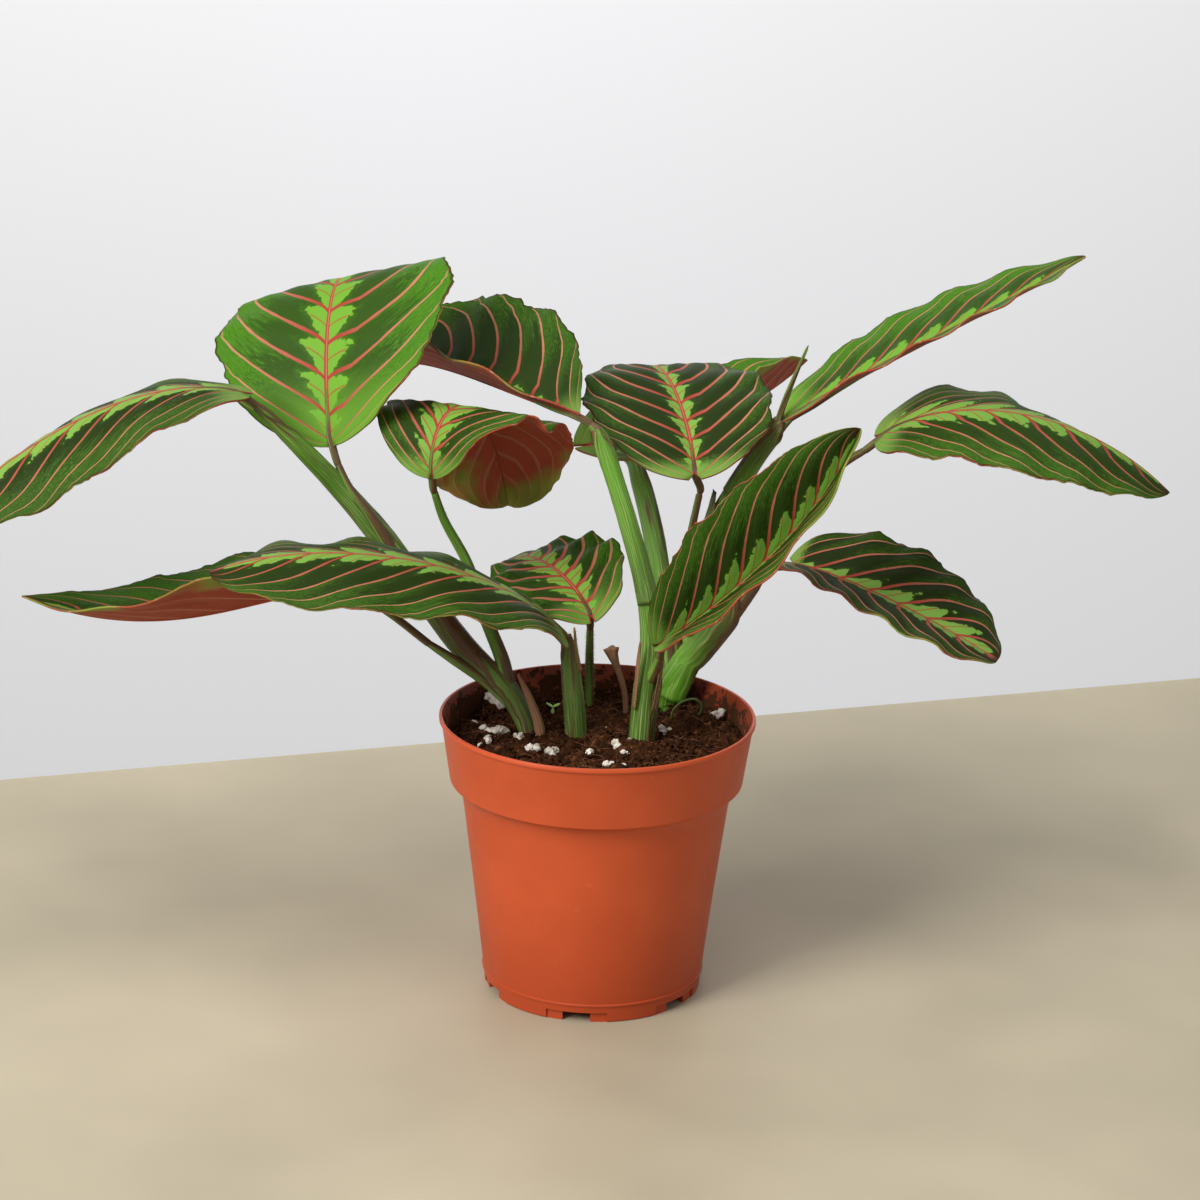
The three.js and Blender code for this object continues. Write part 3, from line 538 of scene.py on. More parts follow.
def mix(add, share, one, other):
    """A colour that goes from one to the other; palette names stand for their colours."""
    one, other = (linear(c) if isinstance(c, str) else c for c in (one, other))
    return add("Mix", at={0: share, 6: one, 7: other}, out=2, data_type="RGBA")


def surface(add, colour, height, strength, distance):
    """The shader's links for a colour and the fine relief that goes with it."""
    return {"Base Color": colour, "Normal": add("Bump", Height=height, Strength=strength, Distance=distance)}


def leaf_face_recipe(add):
    """Living blade from above: green with dark blotches between red side veins, and a light band on the rib."""
    f = leaf_pattern(add)
    # The margin's green, with the fine pale streaks that run beside the veins.
    green = mix(add, f.fresh, "margin_dull", "margin_fresh")
    streak = add("MapRange", f.fine, 0.5, 0.68, **SMOOTH)
    green = mix(add, add("Math", streak, 0.5, **TIMES), green, "streak")
    # The light band: narrow at each vein, wide between, and ragged at its edge.
    step = add("Math", f.phase, operation="FRACT")
    lobe = add("Math", add("MapRange", step, 0, 0.66, 0.22, 1.0), add("MapRange", step, 0.66, 1, 1.0, 0.22),
               operation="MINIMUM")
    teeth = add("TexNoise", Vector=add("TexCoord", out=3), Scale=420.0)
    teeth = add("MapRange", teeth, 0.3, 0.7, 0.72, 1.28)
    band = add("Math", add("Math", f.zone, lobe, **TIMES), teeth, **TIMES)
    past_band = add("Math", f.edge, band, **MINUS)
    light = add("MapRange", past_band, -0.012, 0.014, 1.0, 0.0, **SMOOTH)
    foot = add("Math", f.share, add("MapRange", f.streaks, 0, 1, -0.04, 0.04), **PLUS)
    foot = add("MapRange", foot, 0.01, f.foot, 0.8, 0.0, **SMOOTH)
    light = add("Math", light, foot, operation="MAXIMUM")
    # The dark blotches, which fade towards the margin along the streaks.
    ragged = add("MapRange", f.streaks, 0.3, 0.7, -0.24, 0.24)
    reach = add("Math", add("Math", f.edge, ragged, **PLUS), f.dark, **MINUS)
    dark = add("MapRange", reach, -0.28, 0.14, 1.0, 0.0, **SMOOTH)
    dark = add("Math", dark, add("MapRange", past_band, -0.02, 0.1, 0.55, 1.0), **TIMES)
    # Beyond half way out each blotch narrows to a tongue beside its lower vein; the dark kept beside the vein is
    # partly the blotch and partly painted shade of the bulge between the veins.
    tongue = add("Math", step, add("MapRange", f.edge, 0.3, 0.9, -0.35, 0.5), **PLUS)
    tongue = add("Math", tongue, ragged, **PLUS)
    tongue = add("MapRange", tongue, 0.5, 1.0, 1.0, 0.3, **SMOOTH)
    dark = add("Math", dark, tongue, **TIMES)
    colour = mix(add, dark, green, mix(add, f.fresh, "dark_dull", "dark_fresh"))
    colour = mix(add, light, colour, mix(add, f.fresh, "light_dull", "light_fresh"))
    # Short red twigs inside the light band, half way between the side veins.
    twig = add("Math", add("Math", 0.5, f.between, **MINUS), f.gap_mm, **TIMES)
    twig = add("MapRange", twig, 0.12, 0.5, 0.75, 0.0, **SMOOTH)
    twig = add("Math", twig, add("Math", past_band, -0.02, operation="LESS_THAN"), **TIMES)
    colour = mix(add, twig, colour, "vein_near")
    vein = mix(add, add("MapRange", f.edge, 0.1, 0.95), "vein_near", "vein_far")
    fade = add("MapRange", f.edge, 0.8, 0.98, 1.0, 0.5)
    colour = mix(add, add("Math", f.vein, fade, **TIMES), colour, vein)
    colour = mix(add, f.rib, colour, "vein_near")
    colour = mix(add, add("MapRange", f.rib_mm, 0.1, 0.3, 0.55, 0.0), colour, "vein_far")
    rim = add("MapRange", f.edge, 0.975, 0.992, 0, 0.8)
    rim = add("Math", rim, add("MapRange", f.share, 0.965, 0.995, 0, 0.8), operation="MAXIMUM")
    colour = mix(add, rim, colour, "edge")
    height = add("Math", f.fine, f.vein, **MINUS)
    gloss = add("MapRange", f.streaks, 0, 1, 0.42, 0.58)
    return {"Roughness": gloss, **surface(add, colour, height, 0.5, 0.00018)}


def leaf_under_recipe(add):
    """Living blade from below: wine red-brown, paler along its raised veins, olive at the margin, and lightened by
    painted light through the blade.
    """
    f = leaf_pattern(add)
    tone = add("MapRange", f.streaks, 0.35, 0.65)
    colour = mix(add, tone, "under", "under_pale")
    # Painted light: glow brightens the underside, for light that shines through the blade.
    colour = mix(add, add("Math", f.glow, 0.85, **TIMES), colour, "under_bright")
    downwards = add("Math", f.share, 1.12, **TIMES)
    olive = add("Mix", f.glow, data_type="FLOAT", A=f.edge, B=downwards)
    olive = add("Math", olive, add("MapRange", f.fine, 0, 1, -0.12, 0.12), **PLUS)
    cloud = add("TexNoise", Vector=add("TexCoord", out=3), Scale=55.0)
    olive = add("Math", olive, add("MapRange", cloud, 0.3, 0.7, -0.25, 0.25), **PLUS)
    olive = add("MapRange", olive, 0.72, 1.02, 0, 0.8, **SMOOTH)
    colour = mix(add, olive, colour, "under_edge")
    colour = mix(add, add("Math", f.vein, 0.5, **TIMES), colour, "vein_far")
    colour = mix(add, f.rib, colour, "under_pale")
    return surface(add, colour, add("Math", f.vein, f.fine, **PLUS), 0.6, 0.0003)


def stem_recipe(add):
    """Living stem and its swollen joints: green with fine lengthwise ribs and a patchy brown-purple flush."""
    names = ("flush", "fresh", "turn", "turn_b", "run_mm")
    f = SimpleNamespace(**{name: add("Attribute", out=2, attribute_name=name) for name in names})
    grain = add("CombineXYZ", f.turn, f.turn_b, add("Math", f.run_mm, 0.03, **TIMES))
    fibre = add("CombineXYZ", f.turn, f.turn_b, add("Math", f.run_mm, 0.004, **TIMES))
    lines = add("TexNoise", Vector=fibre, Scale=12.0, Detail=3.0, Roughness=0.55)
    patch = add("TexNoise", Vector=grain, Scale=1.6)
    colour = mix(add, f.fresh, "stem_dull", "stem_fresh")
    pale = add("MapRange", lines, 0.5, 0.66, 0, 0.6, **SMOOTH)
    colour = mix(add, pale, colour, "stem_line")
    amount = add("Math", f.flush, add("MapRange", patch, 0.3, 0.7, -0.5, 0.5), **PLUS)
    amount = add("MapRange", amount, 0.25, 0.75, 0, 0.92, **SMOOTH)
    colour = mix(add, amount, colour, "flush")
    colour = mix(add, add("MapRange", lines, 0.28, 0.48, 0.4, 0.0), colour, "dark_dull")
    return surface(add, colour, lines, 0.8, 0.0004)


def pot_recipe(add):
    """Moulded polypropylene, terracotta orange: satin, faintly mottled, with soil smears inside the rim; painted
    shade darkens its foot, and painted shade with a thin soil film darkens its inner wall.
    """
    place = add("TexCoord", out=3)
    parts = add("SeparateXYZ", place, out=2)
    flat = add("VectorMath", place, (1.0, 1.0, 0.0), **TIMES)
    radius = add("VectorMath", flat, out=1, operation="LENGTH")
    cloud = add("TexNoise", Vector=place, Scale=45.0, Detail=4.0, Roughness=0.55)
    grain = add("TexNoise", Vector=place, Scale=1500.0)
    colour = mix(add, add("MapRange", cloud, 0.35, 0.65, 0, 0.28), "pot", "pot_deep")
    scuff = add("TexNoise", Vector=place, Scale=160.0, Detail=5.0, Roughness=0.75)
    scuff = add("MapRange", scuff, 0.62, 0.74, 0, 0.22, **SMOOTH)
    colour = mix(add, scuff, colour, "pot_pale")
    # Painted shade: the pot darkens towards its foot, over its lowest 45 mm.
    low = add("MapRange", parts, 0.0, 0.045, 0.7, 0.0, **SMOOTH)
    colour = mix(add, low, colour, "pot_deep")
    # Soil that clings to the inner wall just above the soil.
    cling = add("TexNoise", Vector=place, Scale=210.0, Detail=5.0, Roughness=0.7)
    cling = add("MapRange", cling, 0.35, 0.65, 0.0825, 0.094)
    smear = add("Math", cling, parts, **MINUS)
    smear = add("MapRange", smear, -0.0004, 0.0006, **SMOOTH)
    within = add("MapRange", parts, 0.0722, 0.0916, 0.0469, 0.0499)
    inner = add("Math", radius, within, operation="LESS_THAN")
    above = add("Math", parts, 0.0725, operation="GREATER_THAN")
    inner = add("Math", inner, above, **TIMES)
    smear = add("Math", smear, inner, **TIMES)
    # The inner wall above the soil is darkened in patches: painted shade, together with a thin soil film.
    inner_shade_and_film = add("Math", inner, add("MapRange", cloud, 0, 1, 0.45, 0.95), **TIMES)
    colour = mix(add, inner_shade_and_film, colour, "pot_shade_and_film")
    colour = mix(add, smear, colour, "soil")
    rough = add("MapRange", cloud, 0, 1, 0.34, 0.5)
    rough = add("Math", rough, smear, operation="MAXIMUM")
    return {"Roughness": rough, **surface(add, colour, grain, 0.25, 8e-05)}


def soil_recipe(add):
    """Moist peat mix: near black in its pores, brown on the crumbs, matt."""
    lumps = add("TexNoise", Vector=add("TexCoord", out=3), Scale=420.0, Detail=6.0, Roughness=0.75)
    colour = mix(add, add("MapRange", lumps, 0.35, 0.6), "soil_deep", "soil")
    crumb = add("MapRange", lumps, 0.55, 0.68, **SMOOTH)
    colour = mix(add, crumb, colour, "soil_crumb")
    return surface(add, colour, lumps, 0.9, 0.0009)


def perlite_recipe(add):
    """Expanded volcanic glass: chalky white foam, greyed by peat dust in its pores."""
    place = add("TexCoord", out=3)
    pores = add("TexVoronoi", Vector=place, Scale=1500.0)
    dust = add("TexNoise", Vector=place, Scale=420.0, Detail=4.0)
    colour = mix(add, add("MapRange", dust, 0.45, 0.7), "perlite", "perlite_deep")
    colour = mix(add, add("MapRange", dust, 0.66, 0.8), colour, "soil_crumb")
    return surface(add, colour, pores, 0.7, 0.0004)


def upright_grain(add, across, along, **noise):
    """Noise drawn out upwards, with its frequency across and along."""
    stretched = add("Mapping", add("TexCoord", out=3), Scale=(across, across, along))
    return add("TexNoise", Vector=stretched, Scale=1.0, **noise)


def husk_recipe(add):
    """Dried papery sheath: brown, streaked along its fibres."""
    fibres = upright_grain(add, 900.0, 120.0, Detail=4.0, Roughness=0.7)
    colour = mix(add, add("MapRange", fibres, 0.3, 0.55), "husk_deep", "husk")
    colour = mix(add, add("MapRange", fibres, 0.56, 0.75), colour, "husk_pale")
    return surface(add, colour, fibres, 0.8, 0.0003)


def sprout_recipe(add):
    """Young rolled leaf: fresh light green, paler along its seam."""
    lines = upright_grain(add, 700.0, 90.0, Detail=3.0)
    colour = mix(add, add("MapRange", lines, 0.4, 0.65), "sprout", "sprout_pale")
    return surface(add, colour, lines, 0.4, 0.0002)


def hair_recipe(add):
    """Fine pale plant hairs, with a little change of tone from hair to hair."""
    tone = add("TexNoise", Vector=add("TexCoord", out=3), Scale=300.0)
    return {"Base Color": mix(add, tone, "stem_line", "husk_pale")}


def table_recipe(add):
    """Pale painted table top: beige, with a very faint cloud."""
    cloud = add("TexNoise", Vector=add("TexCoord", out=3), Scale=6.0, Detail=3.0)
    return {"Base Color": mix(add, add("MapRange", cloud, 0.3, 0.7), "table", "table_deep")}


def wall_recipe(add):
    """Plain pale grey wall paint."""
    cloud = add("TexNoise", Vector=add("TexCoord", out=3), Scale=1.0)
    return {"Base Color": mix(add, add("MapRange", cloud, 0, 1, 0, 0.15), "wall", "table")}


# ---- Leaves ----

def bezier(points, t):
    p = np.array(points, float)
    t = t[:, None]
    return p[0] * (1 - t) ** 3 + 3 * p[1] * t * (1 - t) ** 2 + 3 * p[2] * t * t * (1 - t) + p[3] * t**3


def rib_frame(leaf, share):
    """Places, directions and upward normals on a rib at shares of its length, and its whole length."""
    t = np.linspace(0, 1, 801)
    run = np.concatenate([[0], np.cumsum(np.linalg.norm(np.diff(bezier(leaf["rib"], t), axis=0), axis=1))])
    at = np.interp(share * run[-1], run, t)
    along = unit(bezier(leaf["rib"], np.clip(at + 1e-4, 0, 1)) - bezier(leaf["rib"], np.clip(at - 1e-4, 0, 1)))
    up = lerp(*np.array(leaf["face"], float), share[:, None])
    up = unit(up - along * np.sum(up * along, axis=1, keepdims=True))
    return bezier(leaf["rib"], at), along, up, run[-1]


def blade_share(leaf, s):
    """How wide the blade is at a share of the rib, from 0 to 1."""
    near = np.clip(1 - ((WIDEST_AT + 0.01 - s) / (WIDEST_AT + 0.01)) ** 2, 0, 1) ** leaf["base"]
    far = np.clip(1 - ((s - WIDEST_AT) / (1 - WIDEST_AT)) ** 2, 0, 1) ** leaf["tip"]
    return np.where(s < WIDEST_AT, near, far)


def vein_phase(leaf, s, t):
    """Counts the side veins: whole numbers lie on a vein. The veins arch towards the tip near the edge."""
    q = np.abs(t)
    lag = 0.03 * (1 - np.exp(-16 * q)) + 0.21 * q + 0.12 * q**2 + 0.06 * q**5
    return (s - lag * leaf["sweep"]) * leaf["veins"] + np.where(t < 0, 0.0, 0.35) * np.minimum(1, 4 * q) + 0.5


def blade_surface(leaf, s, t, relief=0.0):
    """Points of the blade: s along the rib, t from -1 to 1 across, left half negative."""
    centre, along, up, length = rib_frame(leaf, s)
    left = t < 0
    outwards = np.cross(up, along) * np.where(left, 1, -1)[:, None]
    fold, curl = (np.radians(np.where(left, lerp(*leaf[key][:2], s), lerp(*leaf[key][2:], s)))
                  for key in ("fold", "curl"))
    curl = np.where(np.abs(curl) < 1e-3, 1e-3, curl)
    q = np.abs(t)
    beside = np.where(left, 50.0, 0.0) + 0 * s
    nick = value_noise(s * length, beside, 4.2, 5) * 0.034 + value_noise(s * length, beside, 1.3, 6) * 0.02
    nick = nick * q**6
    width = np.where(left, leaf["half"][0], leaf["half"][1]) * blade_share(leaf, s) * q * (1 + nick)
    turned = fold + curl * q
    reach = width * (np.sin(turned) - np.sin(fold)) / curl / np.maximum(q, 1e-9)
    rise = width * (np.cos(fold) - np.cos(turned)) / curl / np.maximum(q, 1e-9)
    wave_height, waves, start = leaf["wave"]
    wave = (wave_height * np.minimum(1, 2 * blade_share(leaf, s)) * q * q
            * np.sin(2 * math.pi * (waves * s + start + np.where(left, 0.0, WAVE_LAG))))
    quilt = np.sin(math.pi * vein_phase(leaf, s, t)) ** 2 * np.minimum(1, 5 * q) * (1 - q**3)
    wave = wave + relief * quilt * blade_share(leaf, s)
    lobe = leaf["lobe"] * q * np.maximum(0, 1 - s / LOBE_SHARE) ** 2
    return (centre + outwards * (reach - wave * np.sin(turned))[:, None]
            + up * (rise + wave * np.cos(turned))[:, None] - along * lobe[:, None])


def make_leaf(name, leaf, branch, settings):
    """One leaf: its blade, the rib that stands out below, and its swollen stalk."""
    length = rib_frame(leaf, np.ones(1))[3]

    def coordinates(u, v):
        return np.clip(u - 0.09 * np.sin(2 * math.pi * u), 0.0004, 1.0), 1 - 2 * v

    def fields(u, v):
        s, t = coordinates(u, v)
        half = np.where(t < 0, leaf["half"][0], leaf["half"][1]) * blade_share(leaf, s)
        tip_fade = np.clip((1.02 - s) / 0.12, 0, 1)
        return {
            "phase": vein_phase(leaf, s, t), "gap_mm": length / leaf["veins"], "rib_mm": np.abs(t) * half,
            "edge": np.abs(t), "share": s, "zone": lerp(*leaf["zone"], s) * tip_fade,
            "half_mm": half, **{key: leaf[key] for key in ("fresh", "dark", "glow", "foot")},
        }

    def place(u, v):
        s, t = coordinates(u, v)
        return blade_surface(leaf, s, t, settings.quilting / MM)

    skins = [material("leaf_face", leaf_face_recipe, **{"Specular IOR Level": 0.08}),
             material("leaf_underside", leaf_under_recipe, **{"Roughness": 0.6, "Specular IOR Level": 0.2})]
    blade = grid_piece(name, settings.blade_steps, settings.blade_steps // 2 // 2 * 2, place, skins, fields)
    edit(blade, (bpy.ops.mesh.remove_doubles, dict(threshold=1e-6)))
    modify(blade, "SOLIDIFY", thickness=settings.blade_thickness, offset=-0.2, material_offset=1,
           material_offset_rim=1, use_even_offset=False)
    up = unit(np.array(leaf["face"][0], float))
    rows = np.array(branch[-2:], float)[:, :3]
    start = rows[1] + unit(rows[0] - rows[1]) * 1.5
    thick = leaf["stalk"]
    run = [(*start, thick * 0.8), (*rows[1], thick)]
    for s, depth, radius in STALK_RUN:
        point = blade_surface(leaf, np.array([s]), np.array([0.0]))[0] - up * depth
        run.append((*point, radius))
    stalk = tube(name + "_stalk", run, [material("living_stem", stem_recipe)], around=16, steps=5, ribs=0.02,
                 fields=lambda u, v: {"flush": lerp(*JOINT_FLUSH, u), "fresh": 0.35})
    shares = np.linspace(*KEEL_REACH, KEEL_POINTS)
    middle = blade_surface(leaf, shares, np.zeros(KEEL_POINTS)) - rib_frame(leaf, shares)[2] * KEEL_DEPTH
    keel = np.column_stack([middle, np.linspace(*KEEL_RADII, KEEL_POINTS)])
    keel = tube(name + "_keel", keel, [skins[1]], around=8, steps=2, ribs=0.0,
                fields=lambda u, v: {"glow": leaf["glow"]})
    return finish_piece(join(name + "_piece", [blade, stalk, keel]), [name])


def make_leaves(settings):
    """The thirteen open leaves, each at the end of its stem."""
    branches = {leaf: row[2] for shoot in SHOOTS.values() for leaf, row in shoot.items()}
    for name, leaf in LEAVES.items():
        make_leaf(name, LEAF_DEFAULTS | leaf, branches[name], settings)


# ---- Pot and soil ----

def make_pot(settings):
    """The moulded pot: its outline turned round the axis, with foot notches cut out."""
    profile = np.array(POT_PROFILE, float)

    def place(u, v):
        i = np.rint(u * (len(profile) - 1)).astype(int)
        angle = 2 * math.pi * v
        radius, height = profile[i, 0], profile[i, 1]
        return np.stack([radius * np.cos(angle), radius * np.sin(angle), height], axis=1)

    skin = material("pot_plastic_moulded", pot_recipe, **{"Specular IOR Level": 0.3})
    pot = grid_piece("pot_moulded", len(profile) - 1, settings.pot_steps, place, [skin])
    close_ends(pot)
    for beside, width, height, deep in NOTCH_CUTS:
        for i in range(NOTCH_COUNT):
            angle = math.radians(NOTCH_FIRST + beside + i * 360 / NOTCH_COUNT)
            bpy.ops.mesh.primitive_cube_add(size=1)
            cutter = bpy.context.object
            cutter.scale = (deep * MM, width * MM, 2 * height * MM)
            cutter.rotation_euler = (0, 0, angle)
            cutter.location = (POT_FOOT_RADIUS * MM * math.cos(angle), POT_FOOT_RADIUS * MM * math.sin(angle), 0)
            bpy.context.view_layer.update()
            modify(pot, "BOOLEAN", object=cutter, operation="DIFFERENCE", solver="EXACT")
            bpy.data.objects.remove(cutter)
    finish_piece(pot, ["pot"], smooth=False)
    bpy.ops.object.shade_smooth_by_angle(angle=math.radians(28))


def soil_height(x, y):
    """Height of the soil's gentle mounds, in millimetres."""
    return SOIL_LEVEL + sum(rise * np.sin(ax * x + ay * y + start) for rise, ax, ay, start in SOIL_RIPPLES)


def make_soil(settings):
    """The soil: a lumpy top, the hidden body below it, and crumbs and fibres that lie on it."""
    def place(u, v):
        angle = 2 * math.pi * v
        k = np.rint(u * (SOIL_RINGS + len(SOIL_SIDE))).astype(int)
        radius = SOIL_RADIUS_TOP * np.clip(k / SOIL_RINGS, 0.002, 1)
        x, y = radius * np.cos(angle), radius * np.sin(angle)
        height = soil_height(x, y)
        for size, rise, seed in SOIL_CLODS:
            height = height + rise * value_noise(x, y, size, seed)
        height = height - 0.6 * np.clip((radius - 44) / 3.4, 0, 1)
        side = np.array(SOIL_SIDE)[np.clip(k - SOIL_RINGS - 1, 0, len(SOIL_SIDE) - 1)]
        radius = np.where(k > SOIL_RINGS, side[:, 0], radius)
        height = np.where(k > SOIL_RINGS, side[:, 1], height)
        return np.stack([radius * np.cos(angle), radius * np.sin(angle), height], axis=1)

    skin = material("peat_mix", soil_recipe, **{"Roughness": 0.9, "Specular IOR Level": 0.1})
    soil = grid_piece("soil_top", SOIL_RINGS + len(SOIL_SIDE), SOIL_STEPS, place, [skin])
    edit(soil, (bpy.ops.mesh.remove_doubles, dict(threshold=WELD)),
         (bpy.ops.mesh.normals_make_consistent, dict(inside=False)))
    random = np.random.default_rng(11)

    def resting(low, high, sink):
        reach = 46.5 * math.sqrt(random.uniform())
        angle = random.uniform(0, 2 * math.pi)
        x, y = reach * math.cos(angle), reach * math.sin(angle)
        size = random.uniform(low, high)
        z = float(soil_height(x, y)) + size * sink
        return x, y, z, size

    bpy.ops.mesh.primitive_ico_sphere_add(subdivisions=1, radius=1)
    places = []
    for _ in range(settings.crumbs):
        x, y, z, size = resting(0.35, 1.0, 0.35)
        if random.uniform() < 0.06:
            size *= 1.9
        places.append(lay((x, y, z), random.uniform(0, 6, 3), "ZY", random.uniform(0.6, 1.3, 3) * size * MM))
    crumbs = scatter("soil_crumbs", bpy.context.object, places, skin)
    fibre_line = [(-1, 0, 0, 0.04), (-0.4, 0.1, 0.06, 0.045), (0.3, -0.06, 0.08, 0.04), (1, 0.12, -0.05, 0.02)]
    husk = material("dry_husk_fibre", husk_recipe, Roughness=0.85)
    fibre = tube("fibre", fibre_line, [husk], around=3, steps=2, ribs=0.0)
    places = []
    for _ in range(settings.fibres):
        x, y, z, size = resting(0.8, 3.0, 0.0)
        direction = random.normal(), random.normal(), random.normal() * 0.35
        places.append(lay((x, y, z + 0.7), direction, "XZ", (size, size * 0.8, size * 0.8)))
    fibres = scatter("soil_fibres", fibre, places, husk)
    root = tube("rootlet", ROOTLET, [material("living_stem", stem_recipe)], around=8, steps=6, ribs=0.05)
    finish_piece(join("soil_surface", [soil, crumbs, fibres, root]), ["soil"])


def make_perlite(settings):
    """White perlite lumps that lie half sunk in the soil, each a small cluster of foamy grains."""
    skin = material("perlite_foam", perlite_recipe, Roughness=0.9)
    random = np.random.default_rng(4)
    bpy.ops.mesh.primitive_ico_sphere_add(subdivisions=2, radius=1)
    grain = bpy.context.object
    for vertex in grain.data.vertices:
        p = np.array(vertex.co)
        vertex.co *= 1 + 0.24 * float(value_noise(p[0] + 3 * p[2], p[1] - 2 * p[2], 0.35, 9))
    places = []
    for x, y, size in PERLITE:
        for k in range(4 if size > 1.5 else 2):
            part = size * (0.62 if k else 0.8) * random.uniform(0.85, 1.1)
            dx, dy = (0, 0) if k == 0 else random.normal(0, size * 0.5, 2)
            z = float(soil_height(x, y)) + size * 0.25 + (0 if k == 0 else random.uniform(-0.2, 0.5) * size)
            places.append(lay((x + dx, y + dy, z), random.normal(0, 1, 3), "ZY",
                              random.uniform(0.75, 1.15, 3) * part * MM))
    finish_piece(scatter("perlite_lumps", grain, places, skin), smooth=False)


# ---- Stems and small parts ----

def make_shoot(name, branches):
    """One shoot: all its stems, joined."""
    skin = material("living_stem", stem_recipe)
    husk = material("dry_husk", husk_recipe, Roughness=0.8)
    parts = []
    for leaf, (flush, fresh, points) in branches.items():
        def fields(u, v, flush=flush, fresh=fresh):
            flush_here, fresh_here = (np.interp(u, np.linspace(0, 1, len(row)), row) for row in (flush, fresh))
            return {"flush": flush_here - FLUSH_SIDE * np.cos(2 * math.pi * v), "fresh": fresh_here}
        parts.append(tube(f"{name}_{leaf}", points, [skin], **STEM_STEPS, fields=fields))
    for at, (points, facing, arc, flush) in enumerate(SHEATHS.get(name, [])):
        _, first_fresh, _ = next(iter(branches.values()))

        def sheath_fields(u, v, flush=flush):
            return {"flush": lerp(*(flush or (1, 1)), u) + 0.6 * np.abs(2 * v - 1) ** 5 + 0.6 * u**10,
                    "fresh": np.interp(u, np.linspace(0, 1, len(first_fresh)), first_fresh)}
        sheath = tube(f"{name}_sheath_{at}", points, [skin if flush else husk], **STEM_STEPS, ribs=0.02,
                      arc=arc, facing=facing, fields=sheath_fields, shape=pointed(facing))
        modify(sheath, "SOLIDIFY", thickness=SHEATH_THICKNESS * MM, offset=0)
        parts.append(sheath)
    finish_piece(join(name + "_stems", parts), [name])


def pointed(facing):
    """A shape for a sheath: it narrows to a frayed point at its end, and its long edges stand off a little."""
    middle = math.radians(facing)

    def shape(u, v, angle, radius):
        fray = 0.06 * value_noise(v * 40, u * 2, 3.0, 8)
        narrow = 1 - 0.9 * np.clip((u - 0.72 + fray) / 0.28, 0, 1) ** 1.6
        narrow = narrow * (1 + 0.15 * value_noise(u * 30, v, 2.0, 9))
        return middle + (angle - middle) * narrow, radius * (1 + 0.1 * np.abs(2 * v - 1) ** 6)

    return shape


def make_hairs(settings):
    """Short pale hairs that stand out from every stem."""
    bpy.ops.mesh.primitive_cone_add(vertices=3, radius1=0.04 * MM, depth=1.0 * MM, end_fill_type="NOTHING")
    hair = bpy.context.object
    random = np.random.default_rng(21)
    places = []
    for name in SHOOTS:
        mesh = bpy.data.objects[name + "_stems"].data
        for face in random.choice(len(mesh.polygons), settings.hairs_per_shoot):
            polygon = mesh.polygons[int(face)]
            if polygon.center.z < 0.088:
                continue
            lean = polygon.normal + Vector(random.normal(0, 0.35, 3))
            size = random.uniform(0.5, 1.2)
            places.append(lay(polygon.center / MM + lean.normalized() * 0.45 * size, lean, "ZY", (1, 1, size)))
    finish_piece(scatter("stem_hairs", hair, places, material("plant_hairs", hair_recipe, Roughness=0.7)))


def make_shoots(settings):
    """The stems of every shoot, and their hairs."""
    for name, branches in SHOOTS.items():
        make_shoot(name, branches)
    make_hairs(settings)


def make_sprouts(settings):
    """The rolled new leaf and the seedling."""
    skin = material("young_leaf", sprout_recipe, Roughness=0.45)
    rolled = tube("new_leaf_rolled", NEW_LEAF, [material("living_stem", stem_recipe)], around=24, steps=12, ribs=0.0,
                  shape=lambda u, v, angle, radius: (angle + 2.5 * u, radius * (1 + 0.28 * v)),
                  fields=lambda u, v: {"flush": lerp(*JOINT_FLUSH, v), "fresh": 0.7})
    finish_piece(rolled, ["new_leaf"])
    parts = [tube("seedling_stalk", SEEDLING_STALK, [skin], around=10, steps=6)]
    for side in (-1, 1):
        bpy.ops.mesh.primitive_uv_sphere_add(segments=24, ring_count=12, radius=0.5)
        lobe = bpy.context.object
        lean = Matrix.Rotation(-side * SEED_LEAN, 3, "Y")
        place = Vector(SEEDLING_STALK[-1][:3]) + lean @ Vector((side * SEED_LEAF[0] * 0.4, 0, 0))
        lobe.data.transform(Matrix.LocRotScale(place * MM, lean.to_quaternion(), SEED_LEAF * MM))
        lobe.data.materials.append(skin)
        parts.append(lobe)
    finish_piece(join("seedling_sprout", parts), ["seedling"])


def make_dry_pieces(settings):
    """The withered stub with its papery flare, and the brown sheath beside the left shoot."""
    husk = material("dry_husk", husk_recipe, Roughness=0.8)

    def frayed(u, v, angle, radius):
        torn = np.clip((u - 0.7) / 0.3, 0, 1)
        return angle, radius * (1 - 0.25 * torn) * (1 + torn * (0.45 * np.sin(3 * angle) + 0.2 * np.sin(7 * angle)))

    finish_piece(tube("dry_stub_stalk", DRY_STUB, [husk], **HUSK_STEPS, ribs=0.1, rib_count=6, shape=frayed),
                 ["dry_stub"])
    curled = tube("dry_sheath_husk", DRY_SHEATH, [husk], **HUSK_STEPS, ribs=0.12, rib_count=9, arc=210,
                  facing=110, shape=pointed(110))
    modify(curled, "SOLIDIFY", thickness=SHEATH_THICKNESS * MM, offset=0)
    finish_piece(curled, ["dry_sheath"])


# ---- Stage ----

def panel(name, corners, paint):
    """One flat surface of the stage."""
    bpy.ops.mesh.primitive_plane_add(size=1)
    piece = bpy.context.object
    piece.name = name
    for vertex, corner in zip(piece.data.vertices, corners):
        vertex.co = corner
    piece.data.materials.append(paint)


